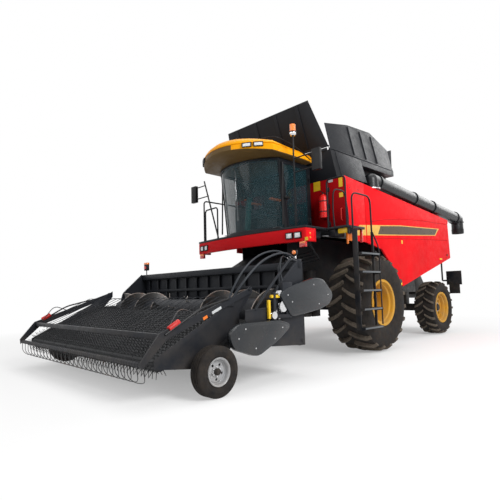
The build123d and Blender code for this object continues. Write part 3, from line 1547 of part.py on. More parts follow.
# Header frame: back sheet with the feeder's mouth, beams, trough, end sheets and shields
shield_out = 88
end_t = 8
beam = 110
mouth_half_w = 500
mouth_low_z = 620
mouth_high_z = 1120
back_front_y = header_back_y - header_back_t
with BuildPart() as header_frame:
    with Locations((0, header_back_y - header_back_t / 2, (header_bottom_z + header_top_z) / 2)):
        Box(2 * header_half_w, header_back_t, header_top_z - header_bottom_z)
    with Locations((0, header_back_y - header_back_t / 2, (mouth_low_z + mouth_high_z) / 2)):
        Box(2 * mouth_half_w, 2 * header_back_t, mouth_high_z - mouth_low_z, mode=Mode.SUBTRACT)
    with Locations((0, back_front_y - beam / 2, header_top_z - beam / 2)):
        Box(2 * header_half_w, beam, beam)
    with Locations((0, back_front_y - beam / 2, header_bottom_z + beam / 2)):
        Box(2 * header_half_w, beam, beam)
    with BuildSketch(yz_plane(-header_half_w)):
        with BuildLine():
            trough_r = auger_flight_r + 25
            l1 = Line((back_front_y, mouth_low_z - 30), (auger_y + trough_r * 0.6, auger_z - trough_r * 0.8))
            ThreePointArc(
                l1 @ 1,
                (auger_y, auger_z - trough_r),
                (auger_y - trough_r * 0.8, auger_z - trough_r * 0.6),
            )
            Line(
                (auger_y - trough_r * 0.8, auger_z - trough_r * 0.6),
                (deck_rear_y + 105, deck_rear_z - 20),
            )
        trace(line_width=6)
    extrude(amount=2 * header_half_w)
    for side in (-1, 1):
        with BuildSketch(yz_plane(side * header_half_w)):
            with BuildLine():
                side_outline(
                    [
                        (header_back_y, header_top_z),
                        (header_back_y - 130, header_top_z),
                        (header_back_y - 570, 1230),
                        (header_back_y - 640, 980),
                        (deck_rear_y + 20, 960),
                        (deck_rear_y + 20, 660),
                        (auger_y - 150, 470),
                        (header_back_y, header_bottom_z),
                    ]
                )
            make_face()
        extrude(amount=-side * end_t)
        with Locations((side * (header_half_w - 30), auger_y, auger_z)):
            Cylinder(auger_stub_r, 60, rotation=(0, 90, 0))
    # drive shields on the left end
    with BuildSketch(yz_plane(header_half_w)):
        with BuildLine():
            side_outline(
                [
                    (front_axle_y - 3310, 1160),
                    (front_axle_y - 3150, 1250),
                    (front_axle_y - 2520, 1390),
                    (front_axle_y - 2310, 1370),
                    (front_axle_y - 2060, 1140),
                    (front_axle_y - 2150, 990),
                    (front_axle_y - 2370, 920),
                    (front_axle_y - 3070, 830),
                    (front_axle_y - 3190, 1000),
                ]
            )
        make_face()
    extrude(amount=shield_out)
    with BuildSketch(yz_plane(header_half_w)):
        with BuildLine():
            side_outline(
                [
                    (front_axle_y - 4210, 640),
                    (front_axle_y - 4200, 730),
                    (front_axle_y - 4050, 820),
                    (front_axle_y - 3320, 820),
                    (front_axle_y - 3130, 770),
                    (front_axle_y - 3110, 700),
                    (front_axle_y - 3340, 550),
                    (front_axle_y - 3710, 390),
                    (front_axle_y - 3820, 400),
                    (front_axle_y - 4150, 510),
                ]
            )
        make_face()
    extrude(amount=shield_out)
header_frame.part.label = "header_frame"
export_step(header_frame.part, "parts/header_frame.step")

# Header auger: tube with two helical flights that meet at the mouth, and fingers between them
auger_half = header_half_w - end_t - 10
flight_pitch = 560
flight_t = 8
flight_in_x = 520
flight_step = 30
finger_r = 310


def auger_flight(side):
    """Flight from the tube's end towards the mouth, with flat triangles between its sections."""
    count = round((auger_half - 40 - flight_in_x) * 360 / flight_pitch / flight_step)
    rings = []
    for i in range(count + 1):
        turn = radians(side * i * flight_step)
        along_x = side * (auger_half - 40 - i * flight_pitch * flight_step / 360)
        rings.append(
            [
                (along_x + across, auger_y - radius * sin(turn), auger_z + radius * cos(turn))
                for across, radius in (
                    (-flight_t / 2, auger_tube_r - 4),
                    (flight_t / 2, auger_tube_r - 4),
                    (flight_t / 2, auger_flight_r),
                    (-flight_t / 2, auger_flight_r),
                )
            ]
        )
    faces = [rings[0], rings[-1]]
    for ring, after in zip(rings, rings[1:]):
        for i in range(4):
            faces.append((ring[i - 1], ring[i], after[i - 1]))
            faces.append((ring[i], after[i], after[i - 1]))
    return flat_solid(faces)


with BuildPart() as header_auger:
    with Locations((0, auger_y, auger_z)):
        Cylinder(auger_tube_r, 2 * auger_half, rotation=(0, 90, 0))
    for side in (-1, 1):
        add(auger_flight(side))
    for i in range(10):
        with Locations(Location((0, auger_y, auger_z), (i * 108, 0, 0))):
            with Locations((-450 + i * 100, 0, (auger_tube_r + finger_r) / 2 - 5)):
                Box(14, 14, finger_r - auger_tube_r + 10)
    for side in (-1, 1):
        with Locations((side * auger_half, auger_y, auger_z)):
            Cylinder(auger_stub_r + running_fit, 120, rotation=(0, 90, 0), mode=Mode.SUBTRACT)
header_auger.part.label = "header_auger"
export_step(header_auger.part, "parts/header_auger.step")

# Pickup deck: side sheets with guard pivots and wheel arms, cross tubes and rollers
deck_t_side = 8
cross = 80
arm_out_x = 2060
deck_side = [
    (deck_front_y - 90, deck_front_z - 50),
    (deck_front_y - 90, deck_front_z + 60),
    (deck_rear_y, 1100),
    (guard_pivot_y + 60, guard_pivot_z + 50),
    (guard_pivot_y + 60, guard_pivot_z - 60),
    (deck_rear_y + 85, 920),
    (deck_rear_y + 85, 700),
    (deck_rear_y, 600),
    (deck_front_y + 510, deck_front_z - 120),
]
with BuildPart() as pickup_deck:
    for side in (-1, 1):
        with BuildSketch(yz_plane(side * deck_half_w)):
            with BuildLine():
                side_outline(deck_side)
            make_face()
        extrude(amount=-side * deck_t_side)
        with Locations((side * (deck_half_w + 25), guard_pivot_y, guard_pivot_z)):
            Cylinder(guard_pin_r, 50, rotation=(0, 90, 0))
        with BuildSketch(yz_plane(side * deck_half_w)):
            with BuildLine():
                side_outline(
                    [
                        (gauge_wheel_y - 60, gauge_axle_z - 40),
                        (gauge_wheel_y - 60, gauge_axle_z + 40),
                        (gauge_wheel_y + 60, gauge_axle_z + 160),
                        (gauge_wheel_y + 420, gauge_axle_z + 360),
                        (gauge_wheel_y + 420, gauge_axle_z + 260),
                        (gauge_wheel_y + 100, gauge_axle_z - 40),
                    ]
                )
            make_face()
        extrude(amount=side * (arm_out_x - deck_half_w))
        with Locations((side * (arm_out_x + gauge_hub_end) / 2, gauge_wheel_y, gauge_axle_z)):
            Cylinder(gauge_spindle_r, gauge_hub_end - arm_out_x, rotation=(0, 90, 0))
    with Locations((0, deck_rear_y + 70, deck_rear_z - 140)):
        Box(2 * (header_half_w - end_t), cross, cross)
    with Locations((0, (deck_front_y + deck_rear_y) / 2 - 100, (deck_front_z + deck_rear_z) / 2 - 65)):
        Box(2 * (deck_half_w - deck_t_side), 60, 60)
    for roller_y, roller_z in ((deck_front_y, deck_front_z), (deck_rear_y, deck_rear_z)):
        with Locations((0, roller_y, roller_z)):
            Cylinder(roller_r, 2 * (deck_half_w - deck_t_side), rotation=(0, 90, 0))
pickup_deck.part.label = "pickup_deck"
export_step(pickup_deck.part, "parts/pickup_deck.step")

# Pickup belts: loops round both rollers, side by side, with rows of tines
belt_t = 8
belt_count = 8
belt_gap = 14
belt_run = ((deck_rear_y - deck_front_y) ** 2 + (deck_rear_z - deck_front_z) ** 2) ** 0.5
belt_slope = degrees(atan2(deck_rear_z - deck_front_z, deck_rear_y - deck_front_y))
belt_w = (2 * (deck_half_w - deck_t_side) - (belt_count + 1) * belt_gap) / belt_count
tine_len = 95
tine_t = 7
tine_rows = 7
tines_in_row = 5
with BuildPart() as belt_shape:
    with BuildSketch(Plane.YZ):
        SlotCenterToCenter(belt_run, 2 * (roller_r + seat_gap + belt_t))
        SlotCenterToCenter(belt_run, 2 * (roller_r + seat_gap), mode=Mode.SUBTRACT)
    extrude(amount=belt_w)
    tine_xs = [belt_w * (i + 0.5) / tines_in_row for i in range(tines_in_row)]
    tine_mid = roller_r + seat_gap + belt_t / 2 + tine_len / 2
    rows = [belt_run * ((i + 0.5) / tine_rows - 0.5) for i in range(tine_rows)]
    with Locations(*[(x, y, tine_mid) for x in tine_xs for y in rows]):
        Box(tine_t, tine_t, tine_len)
    for turn in (30, 80, 130):
        with Locations(Location((0, -belt_run / 2, 0), (turn, 0, 0))):
            with Locations(*[(x, 0, tine_mid) for x in tine_xs]):
                Box(tine_t, tine_t, tine_len)
with BuildPart() as pickup_belts:
    for i in range(belt_count):
        belt_x = -deck_half_w + deck_t_side + belt_gap + i * (belt_w + belt_gap)
        with Locations(
            Location(
                (belt_x, (deck_front_y + deck_rear_y) / 2, (deck_front_z + deck_rear_z) / 2), (belt_slope, 0, 0)
            )
        ):
            add(belt_shape.part)
pickup_belts.part.label = "pickup_belts"
export_step(pickup_belts.part, "parts/pickup_belts.step")

# Hold-down over the pickup: arms, front pipe and second bar
guard_arm_in = deck_half_w + 12
guard_arm_t = 24
guard_pipe_r = 28
guard_bar_y = front_axle_y - 5000
guard_bar_z = 730
with BuildPart() as hold_down:
    for side in (-1, 1):
        with BuildSketch(yz_plane(side * guard_arm_in)):
            with BuildLine():
                side_outline(
                    [
                        (guard_pivot_y + 45, guard_pivot_z + 30),
                        (guard_pivot_y + 45, guard_pivot_z - 40),
                        (guard_bar_y + 60, guard_bar_z - 30),
                        (guard_y - 30, guard_z - 40),
                        (guard_y - 40, guard_z + 40),
                        (guard_bar_y - 40, guard_bar_z + 40),
                    ]
                )
            make_face()
        extrude(amount=side * guard_arm_t)
        with Locations((side * (guard_arm_in + guard_arm_t / 2), guard_pivot_y, guard_pivot_z)):
            Cylinder(guard_pin_r + running_fit, 2 * guard_arm_t, rotation=(0, 90, 0), mode=Mode.SUBTRACT)
    for bar_y, bar_z, bar_r in ((guard_y, guard_z, guard_pipe_r), (guard_bar_y, guard_bar_z, 22)):
        with Locations((0, bar_y, bar_z)):
            Cylinder(bar_r, 2 * guard_arm_in, rotation=(0, 90, 0))
    for i in range(25):
        with BuildSketch(yz_plane(-deck_half_w + 80 + i * (2 * deck_half_w - 160) / 24 - 5)):
            with BuildLine():
                side_outline(
                    [
                        (guard_bar_y, guard_bar_z - 5),
                        (guard_bar_y, guard_bar_z + 5),
                        (deck_rear_y - 60, 1150 + 5),
                        (deck_rear_y - 60, 1150 - 5),
                    ]
                )
            make_face()
        extrude(amount=10)
hold_down.part.label = "hold_down"
export_step(hold_down.part, "parts/hold_down.step")

# Gauge wheels of the header
gauge_tyre_shape = tyre_ring(
    tyre_stations(gauge_tyre_d / 2, gauge_tyre_w, gauge_bore_d, gauge_bead_w, gauge_flange_h), gauge_bore_d, 16
)
gauge_rim_shape = wheel_rim(
    gauge_bore_d, gauge_bead_w, gauge_flange_h, 15, 50, -50, 70, gauge_spindle_r
)

with BuildPart() as gauge_tyre_left:
    with Locations((gauge_wheel_x, gauge_wheel_y, gauge_axle_z)):
        add(gauge_tyre_shape)
gauge_tyre_left.part.label = "gauge_tyre_left"
export_step(gauge_tyre_left.part, "parts/gauge_tyre_left.step")

with BuildPart() as gauge_tyre_right:
    add(mirror(gauge_tyre_left.part, about=Plane.YZ, mode=Mode.PRIVATE))
gauge_tyre_right.part.label = "gauge_tyre_right"
export_step(gauge_tyre_right.part, "parts/gauge_tyre_right.step")

with BuildPart() as gauge_rim_left:
    with Locations((gauge_wheel_x, gauge_wheel_y, gauge_axle_z)):
        add(gauge_rim_shape)
gauge_rim_left.part.label = "gauge_rim_left"
export_step(gauge_rim_left.part, "parts/gauge_rim_left.step")

with BuildPart() as gauge_rim_right:
    add(mirror(gauge_rim_left.part, about=Plane.YZ, mode=Mode.PRIVATE))
gauge_rim_right.part.label = "gauge_rim_right"
export_step(gauge_rim_right.part, "parts/gauge_rim_right.step")
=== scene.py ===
"""Combine harvester with a belt pickup header: detailed pieces, finishes and studio."""

from math import cos, pi, radians, sin

import bmesh
import bpy
from bpy.props import FloatProperty, FloatVectorProperty, IntProperty, PointerProperty
from mathutils import Matrix, Vector


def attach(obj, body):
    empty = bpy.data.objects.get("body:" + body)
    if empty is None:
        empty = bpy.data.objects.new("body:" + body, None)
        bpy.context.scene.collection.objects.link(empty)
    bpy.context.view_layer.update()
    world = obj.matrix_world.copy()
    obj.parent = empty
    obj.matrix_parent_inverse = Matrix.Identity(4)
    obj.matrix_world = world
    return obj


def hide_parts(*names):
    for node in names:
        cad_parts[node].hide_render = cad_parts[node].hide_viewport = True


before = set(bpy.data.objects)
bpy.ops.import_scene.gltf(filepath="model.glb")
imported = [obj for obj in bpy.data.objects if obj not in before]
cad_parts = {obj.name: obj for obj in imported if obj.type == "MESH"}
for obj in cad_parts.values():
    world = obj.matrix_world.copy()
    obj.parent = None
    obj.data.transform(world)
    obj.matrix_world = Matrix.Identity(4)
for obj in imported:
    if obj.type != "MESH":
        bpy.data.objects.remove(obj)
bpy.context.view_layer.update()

bl_info = {
    "name": "Combine Harvester", "version": (1, 0, 0), "blender": (4, 5, 0),
    "location": "3D View > Sidebar > Harvester",
    "description": "Builds the detailed pieces and finishes of a combine harvester",
    "category": "Add Mesh",
}

# Stations of the machine, in metres
FRONT_AXLE_Y = -0.225
REAR_AXLE_Y = FRONT_AXLE_Y + 3.73
FRONT_TYRE_R = 0.93
REAR_TYRE_R = 0.675
FRONT_WHEEL = Vector((1.61, FRONT_AXLE_Y, FRONT_TYRE_R))
REAR_WHEEL = Vector((1.36, REAR_AXLE_Y, REAR_TYRE_R))
GAUGE_WHEEL = Vector((2.195, FRONT_AXLE_Y - 4.41, 0.295))
BODY_FRONT_Y = FRONT_AXLE_Y - 0.56
BODY_REAR_Y = FRONT_AXLE_Y + 4.44
BODY_HALF_W = 1.58
DECAL_GAP = 0.0004
PANEL_FRONT_Y = FRONT_AXLE_Y + 0.162

# Seat of each tyre on its rim: radius, half the width between the flanges, flange height
FRONT_SEAT = (0.4065, 0.345, 0.038)
REAR_SEAT = (0.356, 0.2, 0.038)


def shift(x, y, z):
    """Shift by x, y and z."""
    return Matrix.Translation((x, y, z))


def spin(angle, axis):
    """Turn by an angle about an axis."""
    return Matrix.Rotation(angle, 4, axis)


def grey(value):
    """Grey of a value, with full alpha."""
    return (value,) * 3 + (1,)


def tone(colour, factor):
    """Colour made darker or lighter, with full alpha."""
    return tuple(min(1, c * factor) for c in colour) + (1,)


# Frames in which outlines are drawn, as matrices from the drawing to the machine
def side_frame(x):
    """Drawing in Y and Z, depth along X from x."""
    return Matrix(((0, 0, 1, x), (1, 0, 0, 0), (0, 1, 0, 0), (0, 0, 0, 1)))


def front_frame(y):
    """Drawing in X and Z, depth forwards from y."""
    return Matrix(((1, 0, 0, 0), (0, 0, -1, y), (0, 1, 0, 0), (0, 0, 0, 1)))


def wheel_frame(centre, side):
    """Wheel drawn about its own X axis, its outer side at +X."""
    turn = spin(pi, "Z") if side < 0 else Matrix.Identity(4)
    return shift(side * centre.x, centre.y, centre.z) @ turn


MIRROR_X = Matrix.Scale(-1, 4, (1, 0, 0))


def rounded_outline(points, radius, steps=4):
    """Closed outline with its corners rounded, by less where an edge is short."""
    route = []
    for i, corner in enumerate(points):
        corner = Vector(corner)
        back = Vector(points[i - 1]) - corner
        on = Vector(points[(i + 1) % len(points)]) - corner
        reach = min(radius, back.length * 0.48, on.length * 0.48)
        start = corner + back.normalized() * reach
        end = corner + on.normalized() * reach
        for j in range(steps + 1):
            t = j / steps
            route.append(tuple(start.lerp(corner, t).lerp(corner.lerp(end, t), t)))
    return route


# Shapes, each returned as a bmesh about the origin
def block(size, bevel=0.0, segments=2):
    """Box of the given size, with rounded edges."""
    shape = bmesh.new()
    bmesh.ops.create_cube(shape, size=1.0, matrix=Matrix.Diagonal((*size, 1)))
    if bevel:
        bmesh.ops.bevel(
            shape, geom=shape.edges, offset=bevel, segments=segments, profile=0.5, affect="EDGES",
            material=-1,
        )
    return shape


def rod(radius, length, segments=24, bevel=0.0, tip=None):
    """Round bar from the origin along Z."""
    shape = bmesh.new()
    bmesh.ops.create_cone(
        shape, cap_ends=True, segments=segments, radius1=radius, radius2=radius if tip is None else tip,
        depth=length, matrix=shift(0, 0, length / 2),
    )
    if bevel:
        rims = [edge for edge in shape.edges if any(len(face.verts) > 4 for face in edge.link_faces)]
        bmesh.ops.bevel(
            shape, geom=rims, offset=bevel, segments=2, profile=0.5, affect="EDGES", material=-1
        )
    return shape


def ball(radius, segments=24):
    """Ball about the origin."""
    shape = bmesh.new()
    bmesh.ops.create_uvsphere(shape, u_segments=segments, v_segments=segments // 2, radius=radius)
    return shape


def plate(outline, depth, corner=0.0, bevel=0.0, segments=3):
    """Flat plate from an outline in X and Y, with rounded corners and edges."""
    shape = bmesh.new()
    if corner:
        outline = rounded_outline(outline, corner, segments + 1)
    shape.faces.new([shape.verts.new((x, y, 0)) for x, y in outline])
    face = list(shape.faces)
    made = bmesh.ops.extrude_face_region(shape, geom=face)
    moved = [item for item in made["geom"] if isinstance(item, bmesh.types.BMVert)]
    bmesh.ops.translate(shape, verts=moved, vec=(0, 0, depth))
    bmesh.ops.recalc_face_normals(shape, faces=shape.faces)
    if bevel:
        rims = [edge for edge in shape.edges if edge.calc_face_angle(0) > 1.0]
        bmesh.ops.bevel(
            shape, geom=rims, offset=bevel, segments=2, profile=0.5, affect="EDGES", material=-1
        )
    return shape


def turned(profile, steps=48, closed=True):
    """Profile of (radius, along) points spun about the Z axis."""
    shape = bmesh.new()
    verts = [shape.verts.new((radius, 0, along)) for radius, along in profile]
    pairs = list(zip(verts, verts[1:]))
    if closed:
        pairs.append((verts[-1], verts[0]))
    edges = [shape.edges.new(pair) for pair in pairs]
    bmesh.ops.spin(
        shape, geom=verts + edges, cent=(0, 0, 0), axis=(0, 0, 1), angle=2 * pi, steps=steps,
        use_merge=True,
    )
    bmesh.ops.remove_doubles(shape, verts=shape.verts, dist=1e-05)
    bmesh.ops.recalc_face_normals(shape, faces=shape.faces)
    return shape


def rounded_route(points, bend, steps=5):
    """Route with its corners rounded to the bend radius."""
    route = [Vector(points[0])]
    for before, corner, after in zip(points, points[1:], points[2:]):
        corner = Vector(corner)
        back = Vector(before) - corner
        on = Vector(after) - corner
        reach = min(bend, back.length * 0.49, on.length * 0.49)
        start = corner + back.normalized() * reach
        end = corner + on.normalized() * reach
        for i in range(steps + 1):
            t = i / steps
            route.append(start.lerp(corner, t).lerp(corner.lerp(end, t), t))
    route.append(Vector(points[-1]))
    return route


def curve_shape(curve):
    """Shape of a curve, which is removed."""
    holder = bpy.data.objects.new("curve", curve)
    mesh = bpy.data.meshes.new_from_object(holder)
    shape = bmesh.new()
    shape.from_mesh(mesh)
    bmesh.ops.remove_doubles(shape, verts=shape.verts, dist=1e-06)
    bpy.data.objects.remove(holder)
    bpy.data.curves.remove(curve)
    bpy.data.meshes.remove(mesh)
    return shape


def tube(points, radius, bend=0.05, sides=2, steps=5):
    """Round tube along a route with rounded bends."""
    curve = bpy.data.curves.new("tube", "CURVE")
    curve.dimensions = "3D"
    curve.bevel_depth = radius
    curve.bevel_resolution = sides
    curve.use_fill_caps = True
    route = rounded_route(points, bend, steps)
    spline = curve.splines.new("POLY")
    spline.points.add(len(route) - 1)
    for point, place in zip(spline.points, route):
        point.co = (*place, 1)
    return curve_shape(curve)


class Workpiece:
    """A piece in the making: shapes are added to it, and finish makes the object."""

    def __init__(self):
        self.bm = bmesh.new()

    def add(self, shape, places=(Matrix.Identity(4),), material=0):
        """Adds a shape at a place or at each of several, given as matrices."""
        for face in shape.faces:
            face.material_index = material
        mesh = bpy.data.meshes.new("shape")
        shape.to_mesh(mesh)
        shape.free()
        for place in [places] if isinstance(places, Matrix) else places:
            copy = mesh.copy()
            copy.transform(place)
            if place.determinant() < 0:
                copy.flip_normals()
            self.bm.from_mesh(copy)
            bpy.data.meshes.remove(copy)
        bpy.data.meshes.remove(mesh)

    def box(self, size, place, bevel, material=0):
        """Adds a block centred on a place."""
        self.add(block(size, bevel), shift(*place), material)

    def pipe(self, points, radius, bend, material=0):
        """Adds a bent pipe through the points."""
        self.add(tube(points, radius, bend), material=material)

    def finish(self, name, body, materials, slot, replaces=(), angle=35):
        """Object of the finished piece, riding on its body."""
        mesh = bpy.data.meshes.new(name)
        self.bm.to_mesh(mesh)
        self.bm.free()
        for material in materials:
            mesh.materials.append(bpy.data.materials["finish_" + material])
        mesh.polygons.foreach_set("use_smooth", [True] * len(mesh.polygons))
        mesh.set_sharp_from_angle(angle=radians(angle))
        piece = bpy.data.objects.new(name, mesh)
        bpy.context.scene.collection.objects.link(piece)
        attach(piece, body)
        if replaces:
            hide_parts(*replaces)
        return piece


def dressed_copy(node, bevel, materials, slot, body, segments=2, angle=30):
    """Copy of a CAD node with its edges rounded, which stands for the node."""
    piece = Workpiece()
    piece.bm.from_mesh(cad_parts[node].data)
    bmesh.ops.remove_doubles(piece.bm, verts=piece.bm.verts, dist=1e-05)
    bmesh.ops.dissolve_limit(
        piece.bm, angle_limit=radians(1), verts=piece.bm.verts, edges=piece.bm.edges
    )
    bmesh.ops.recalc_face_normals(piece.bm, faces=piece.bm.faces)
    if bevel:
        rims = [edge for edge in piece.bm.edges if edge.calc_face_angle(0) > radians(angle)]
        bmesh.ops.bevel(
            piece.bm, geom=rims, offset=bevel, segments=segments, profile=0.5, affect="EDGES",
            clamp_overlap=True, material=-1,
        )
    for face in piece.bm.faces:
        face.material_index = 0
    return piece.finish(node + "_dressed", body, materials, slot, (node,))


def along(start, end):
    """Matrix that lays a shape's Z axis from start towards end."""
    start, end = Vector(start), Vector(end)
    turn = (end - start).to_track_quat("Z", "Y").to_matrix().to_4x4()
    return Matrix.Translation(start) @ turn


# Finishes
DUST = (0.3, 0.235, 0.165, 1)
RUST_DARK = (0.115, 0.042, 0.016, 1)
RUST_LIGHT = (0.27, 0.125, 0.055, 1)
RUBBER_DARK = (0.009, 0.009, 0.01, 1)
RUBBER_LIGHT = (0.022, 0.021, 0.021, 1)
WHITE = (1, 1, 1, 1)


def finish_nodes(name):
    """New material with its shader node, its node tree and a link helper."""
    material = bpy.data.materials.new("finish_" + name)
    material.use_nodes = True
    tree = material.node_tree
    return material, tree.nodes["Principled BSDF"], tree


def noise(tree, scale, detail=4.0, roughness=0.55):
    """Noise on the object's own coordinates."""
    where = tree.nodes.new("ShaderNodeTexCoord")
    texture = tree.nodes.new("ShaderNodeTexNoise")
    texture.inputs["Scale"].default_value = scale
    texture.inputs["Detail"].default_value = detail
    texture.inputs["Roughness"].default_value = roughness
    tree.links.new(where.outputs["Object"], texture.inputs["Vector"])
    return texture.outputs["Fac"]


def ramp(tree, source, low, high, start=(0, 0, 0, 1), end=(1, 1, 1, 1)):
    """Colour ramp between two positions."""
    node = tree.nodes.new("ShaderNodeValToRGB")
    node.color_ramp.elements[0].position = low
    node.color_ramp.elements[1].position = high
    node.color_ramp.elements[0].color = start
    node.color_ramp.elements[1].color = end
    tree.links.new(source, node.inputs["Fac"])
    return node.outputs["Color"]


def height_fade(tree, low, high):
    """One below the low height, nothing above the high one."""
    where = tree.nodes.new("ShaderNodeTexCoord")
    split = tree.nodes.new("ShaderNodeSeparateXYZ")
    band = tree.nodes.new("ShaderNodeMapRange")
    band.inputs["From Min"].default_value = low
    band.inputs["From Max"].default_value = high
    band.inputs["To Min"].default_value = 1
    band.inputs["To Max"].default_value = 0
    tree.links.new(where.outputs["Object"], split.inputs[0])
    tree.links.new(split.outputs["Z"], band.inputs["Value"])
    return band.outputs["Result"]


def combine(tree, operation, a, b):
    """Math node of two sources or numbers."""
    node = tree.nodes.new("ShaderNodeMath")
    node.operation = operation
    node.use_clamp = True
    for socket, value in zip(node.inputs, (a, b)):
        if isinstance(value, (int, float)):
            socket.default_value = value
        else:
            tree.links.new(value, socket)
    return node.outputs[0]


def mixed(tree, factor, a, b, blend="MIX"):
    """Mix of two colours or colour sources."""
    node = tree.nodes.new("ShaderNodeMix")
    node.data_type = "RGBA"
    node.blend_type = blend
    if isinstance(factor, (int, float)):
        node.inputs[0].default_value = factor
    else:
        tree.links.new(factor, node.inputs[0])
    for socket, value in ((node.inputs[6], a), (node.inputs[7], b)):
        if isinstance(value, tuple):
            socket.default_value = value
        else:
            tree.links.new(value, socket)
    return node.outputs[2]


def bump(tree, shader, height, strength, distance):
    """Bump from a height source on the shader's normal."""
    node = tree.nodes.new("ShaderNodeBump")
    node.inputs["Strength"].default_value = strength
    node.inputs["Distance"].default_value = distance
    tree.links.new(height, node.inputs["Height"])
    tree.links.new(node.outputs["Normal"], shader.inputs["Normal"])
    return node


def paint(
    name, colour, roughness=0.3, dust=0.25, dust_low=0.3, dust_high=2.2, coat=0.1, grain=0.02,
    specular=0.25,
):
    """Sprayed paint with faint grain, and dust that thickens towards the ground."""
    material, shader, tree = finish_nodes(name)
    shader.inputs["Coat Weight"].default_value = coat
    shader.inputs["Coat Roughness"].default_value = 0.08
    shader.inputs["Specular IOR Level"].default_value = specular
    patches = ramp(tree, noise(tree, 3.1, 8, 0.62), 0.38, 0.72)
    low = height_fade(tree, dust_low, dust_high)
    amount = combine(tree, "MULTIPLY", combine(tree, "MULTIPLY", patches, low), dust)
    shade = ramp(tree, noise(tree, 1.3, 3), 0.3, 0.75, tone(colour, 0.9), tone(colour, 1.06))
    tree.links.new(mixed(tree, amount, shade, DUST), shader.inputs["Base Color"])
    gloss = ramp(
        tree, noise(tree, 9.0, 6), 0.3, 0.8, grey(roughness * 0.8), grey(min(1, roughness * 1.35))
    )
    tree.links.new(
        combine(tree, "ADD", gloss, combine(tree, "MULTIPLY", amount, 0.6)), shader.inputs["Roughness"]
    )
    bump(tree, shader, noise(tree, 240.0, 2), 0.12, grain)
    return material


def plastic(name, colour, roughness=0.5, grain_scale=420.0, strength=0.2, specular=0.35):
    """Moulded plastic with a fine grain."""
    material, shader, tree = finish_nodes(name)
    shader.inputs["Specular IOR Level"].default_value = specular
    shade = ramp(tree, noise(tree, 5.0, 5), 0.3, 0.8, tone(colour, 0.82), tone(colour, 1.12))
    tree.links.new(shade, shader.inputs["Base Color"])
    gloss = ramp(
        tree, noise(tree, 14.0, 5), 0.25, 0.8, grey(roughness * 0.85), grey(min(1, roughness * 1.2))
    )
    tree.links.new(gloss, shader.inputs["Roughness"])
    bump(tree, shader, noise(tree, grain_scale, 2), strength, 0.001)
    return material


def bare_metal(name, colour, roughness=0.35, rust=0.0, metallic=1.0, scale=6.0):
    """Bare steel, with rust in patches."""
    material, shader, tree = finish_nodes(name)
    patches = ramp(tree, noise(tree, scale, 10, 0.68), 0.62 - 0.4 * rust, 0.78 - 0.3 * rust)
    streaks = noise(tree, 60.0, 5)
    steel = ramp(tree, streaks, 0.3, 0.7, tone(colour, 0.8), tone(colour, 1.1))
    browns = ramp(tree, noise(tree, 38.0, 8), 0.3, 0.75, RUST_DARK, RUST_LIGHT)
    amount = combine(tree, "MULTIPLY", patches, min(1.0, rust * 1.6))
    tree.links.new(mixed(tree, amount, steel, browns), shader.inputs["Base Color"])
    bare = combine(tree, "SUBTRACT", metallic, amount)
    tree.links.new(bare, shader.inputs["Metallic"])
    gloss = combine(
        tree, "ADD", ramp(tree, streaks, 0.2, 0.9, grey(roughness * 0.7), grey(roughness)),
        combine(tree, "MULTIPLY", amount, 0.4),
    )
    tree.links.new(gloss, shader.inputs["Roughness"])
    bump(tree, shader, noise(tree, 90.0, 6), 0.25, 0.002)
    return material


def tyre_rubber(name, dirt, dirt_colour, bare=0.34):
    """Rubber with dried soil in patches, more of it on what faces outwards round the tread."""
    material, shader, tree = finish_nodes(name)
    shader.inputs["Specular IOR Level"].default_value = 0.12
    rubber = ramp(tree, noise(tree, 12.0, 6), 0.3, 0.8, RUBBER_DARK, RUBBER_LIGHT)
    soil = ramp(tree, noise(tree, 30.0, 8), 0.25, 0.8, tone(dirt_colour, 0.6), dirt_colour + (1,))
    patches = ramp(tree, noise(tree, 7.0, 10, 0.65), bare, bare + 0.34)
    amount = combine(tree, "MULTIPLY", patches, dirt)
    tree.links.new(mixed(tree, amount, rubber, soil), shader.inputs["Base Color"])
    tree.links.new(ramp(tree, patches, 0, 1, grey(0.6), grey(0.9)), shader.inputs["Roughness"])
    bump(tree, shader, noise(tree, 150.0, 8), 0.5, 0.003)
    return material


def clear_glass(name, colour, alpha, roughness=0.03):
    """Tinted pane: a glossy skin over a see-through body, faintly dusty."""
    material, shader, tree = finish_nodes(name)
    shader.inputs["Metallic"].default_value = 0
    shader.inputs["IOR"].default_value = 1.5
    shader.inputs["Specular IOR Level"].default_value = 0.3
    tree.links.new(
        ramp(
            tree, noise(tree, 2.2, 5), 0.35, 0.8, colour + (1,),
            tuple(min(1, c * 1.25 + 0.01) for c in colour) + (1,),
        ),
        shader.inputs["Base Color"],
    )
    tree.links.new(
        ramp(tree, noise(tree, 11.0, 6), 0.4, 0.9, grey(roughness), grey(roughness + 0.06)),
        shader.inputs["Roughness"],
    )
    tree.links.new(
        ramp(tree, noise(tree, 3.0, 7), 0.35, 0.9, grey(alpha), grey(min(1, alpha + 0.1))),
        shader.inputs["Alpha"],
    )
    return material


def lamp_lens(name, colour, glow=0.0, rings=160.0):
    """Lamp lens with fine ribs."""
    material, shader, tree = finish_nodes(name)
    where = tree.nodes.new("ShaderNodeTexCoord")
    ribs = tree.nodes.new("ShaderNodeTexWave")
    ribs.inputs["Scale"].default_value = rings
    ribs.bands_direction = "DIAGONAL"
    tree.links.new(where.outputs["Object"], ribs.inputs["Vector"])
    tree.links.new(
        ramp(tree, ribs.outputs["Fac"], 0, 1, tone(colour, 0.75), colour + (1,)),
        shader.inputs["Base Color"],
    )
    shader.inputs["Roughness"].default_value = 0.12
    shader.inputs["Coat Weight"].default_value = 0.8
    if glow:
        shader.inputs["Emission Color"].default_value = colour + (1,)
        shader.inputs["Emission Strength"].default_value = glow
    bump(tree, shader, ribs.outputs["Fac"], 0.4, 0.002)
    return material


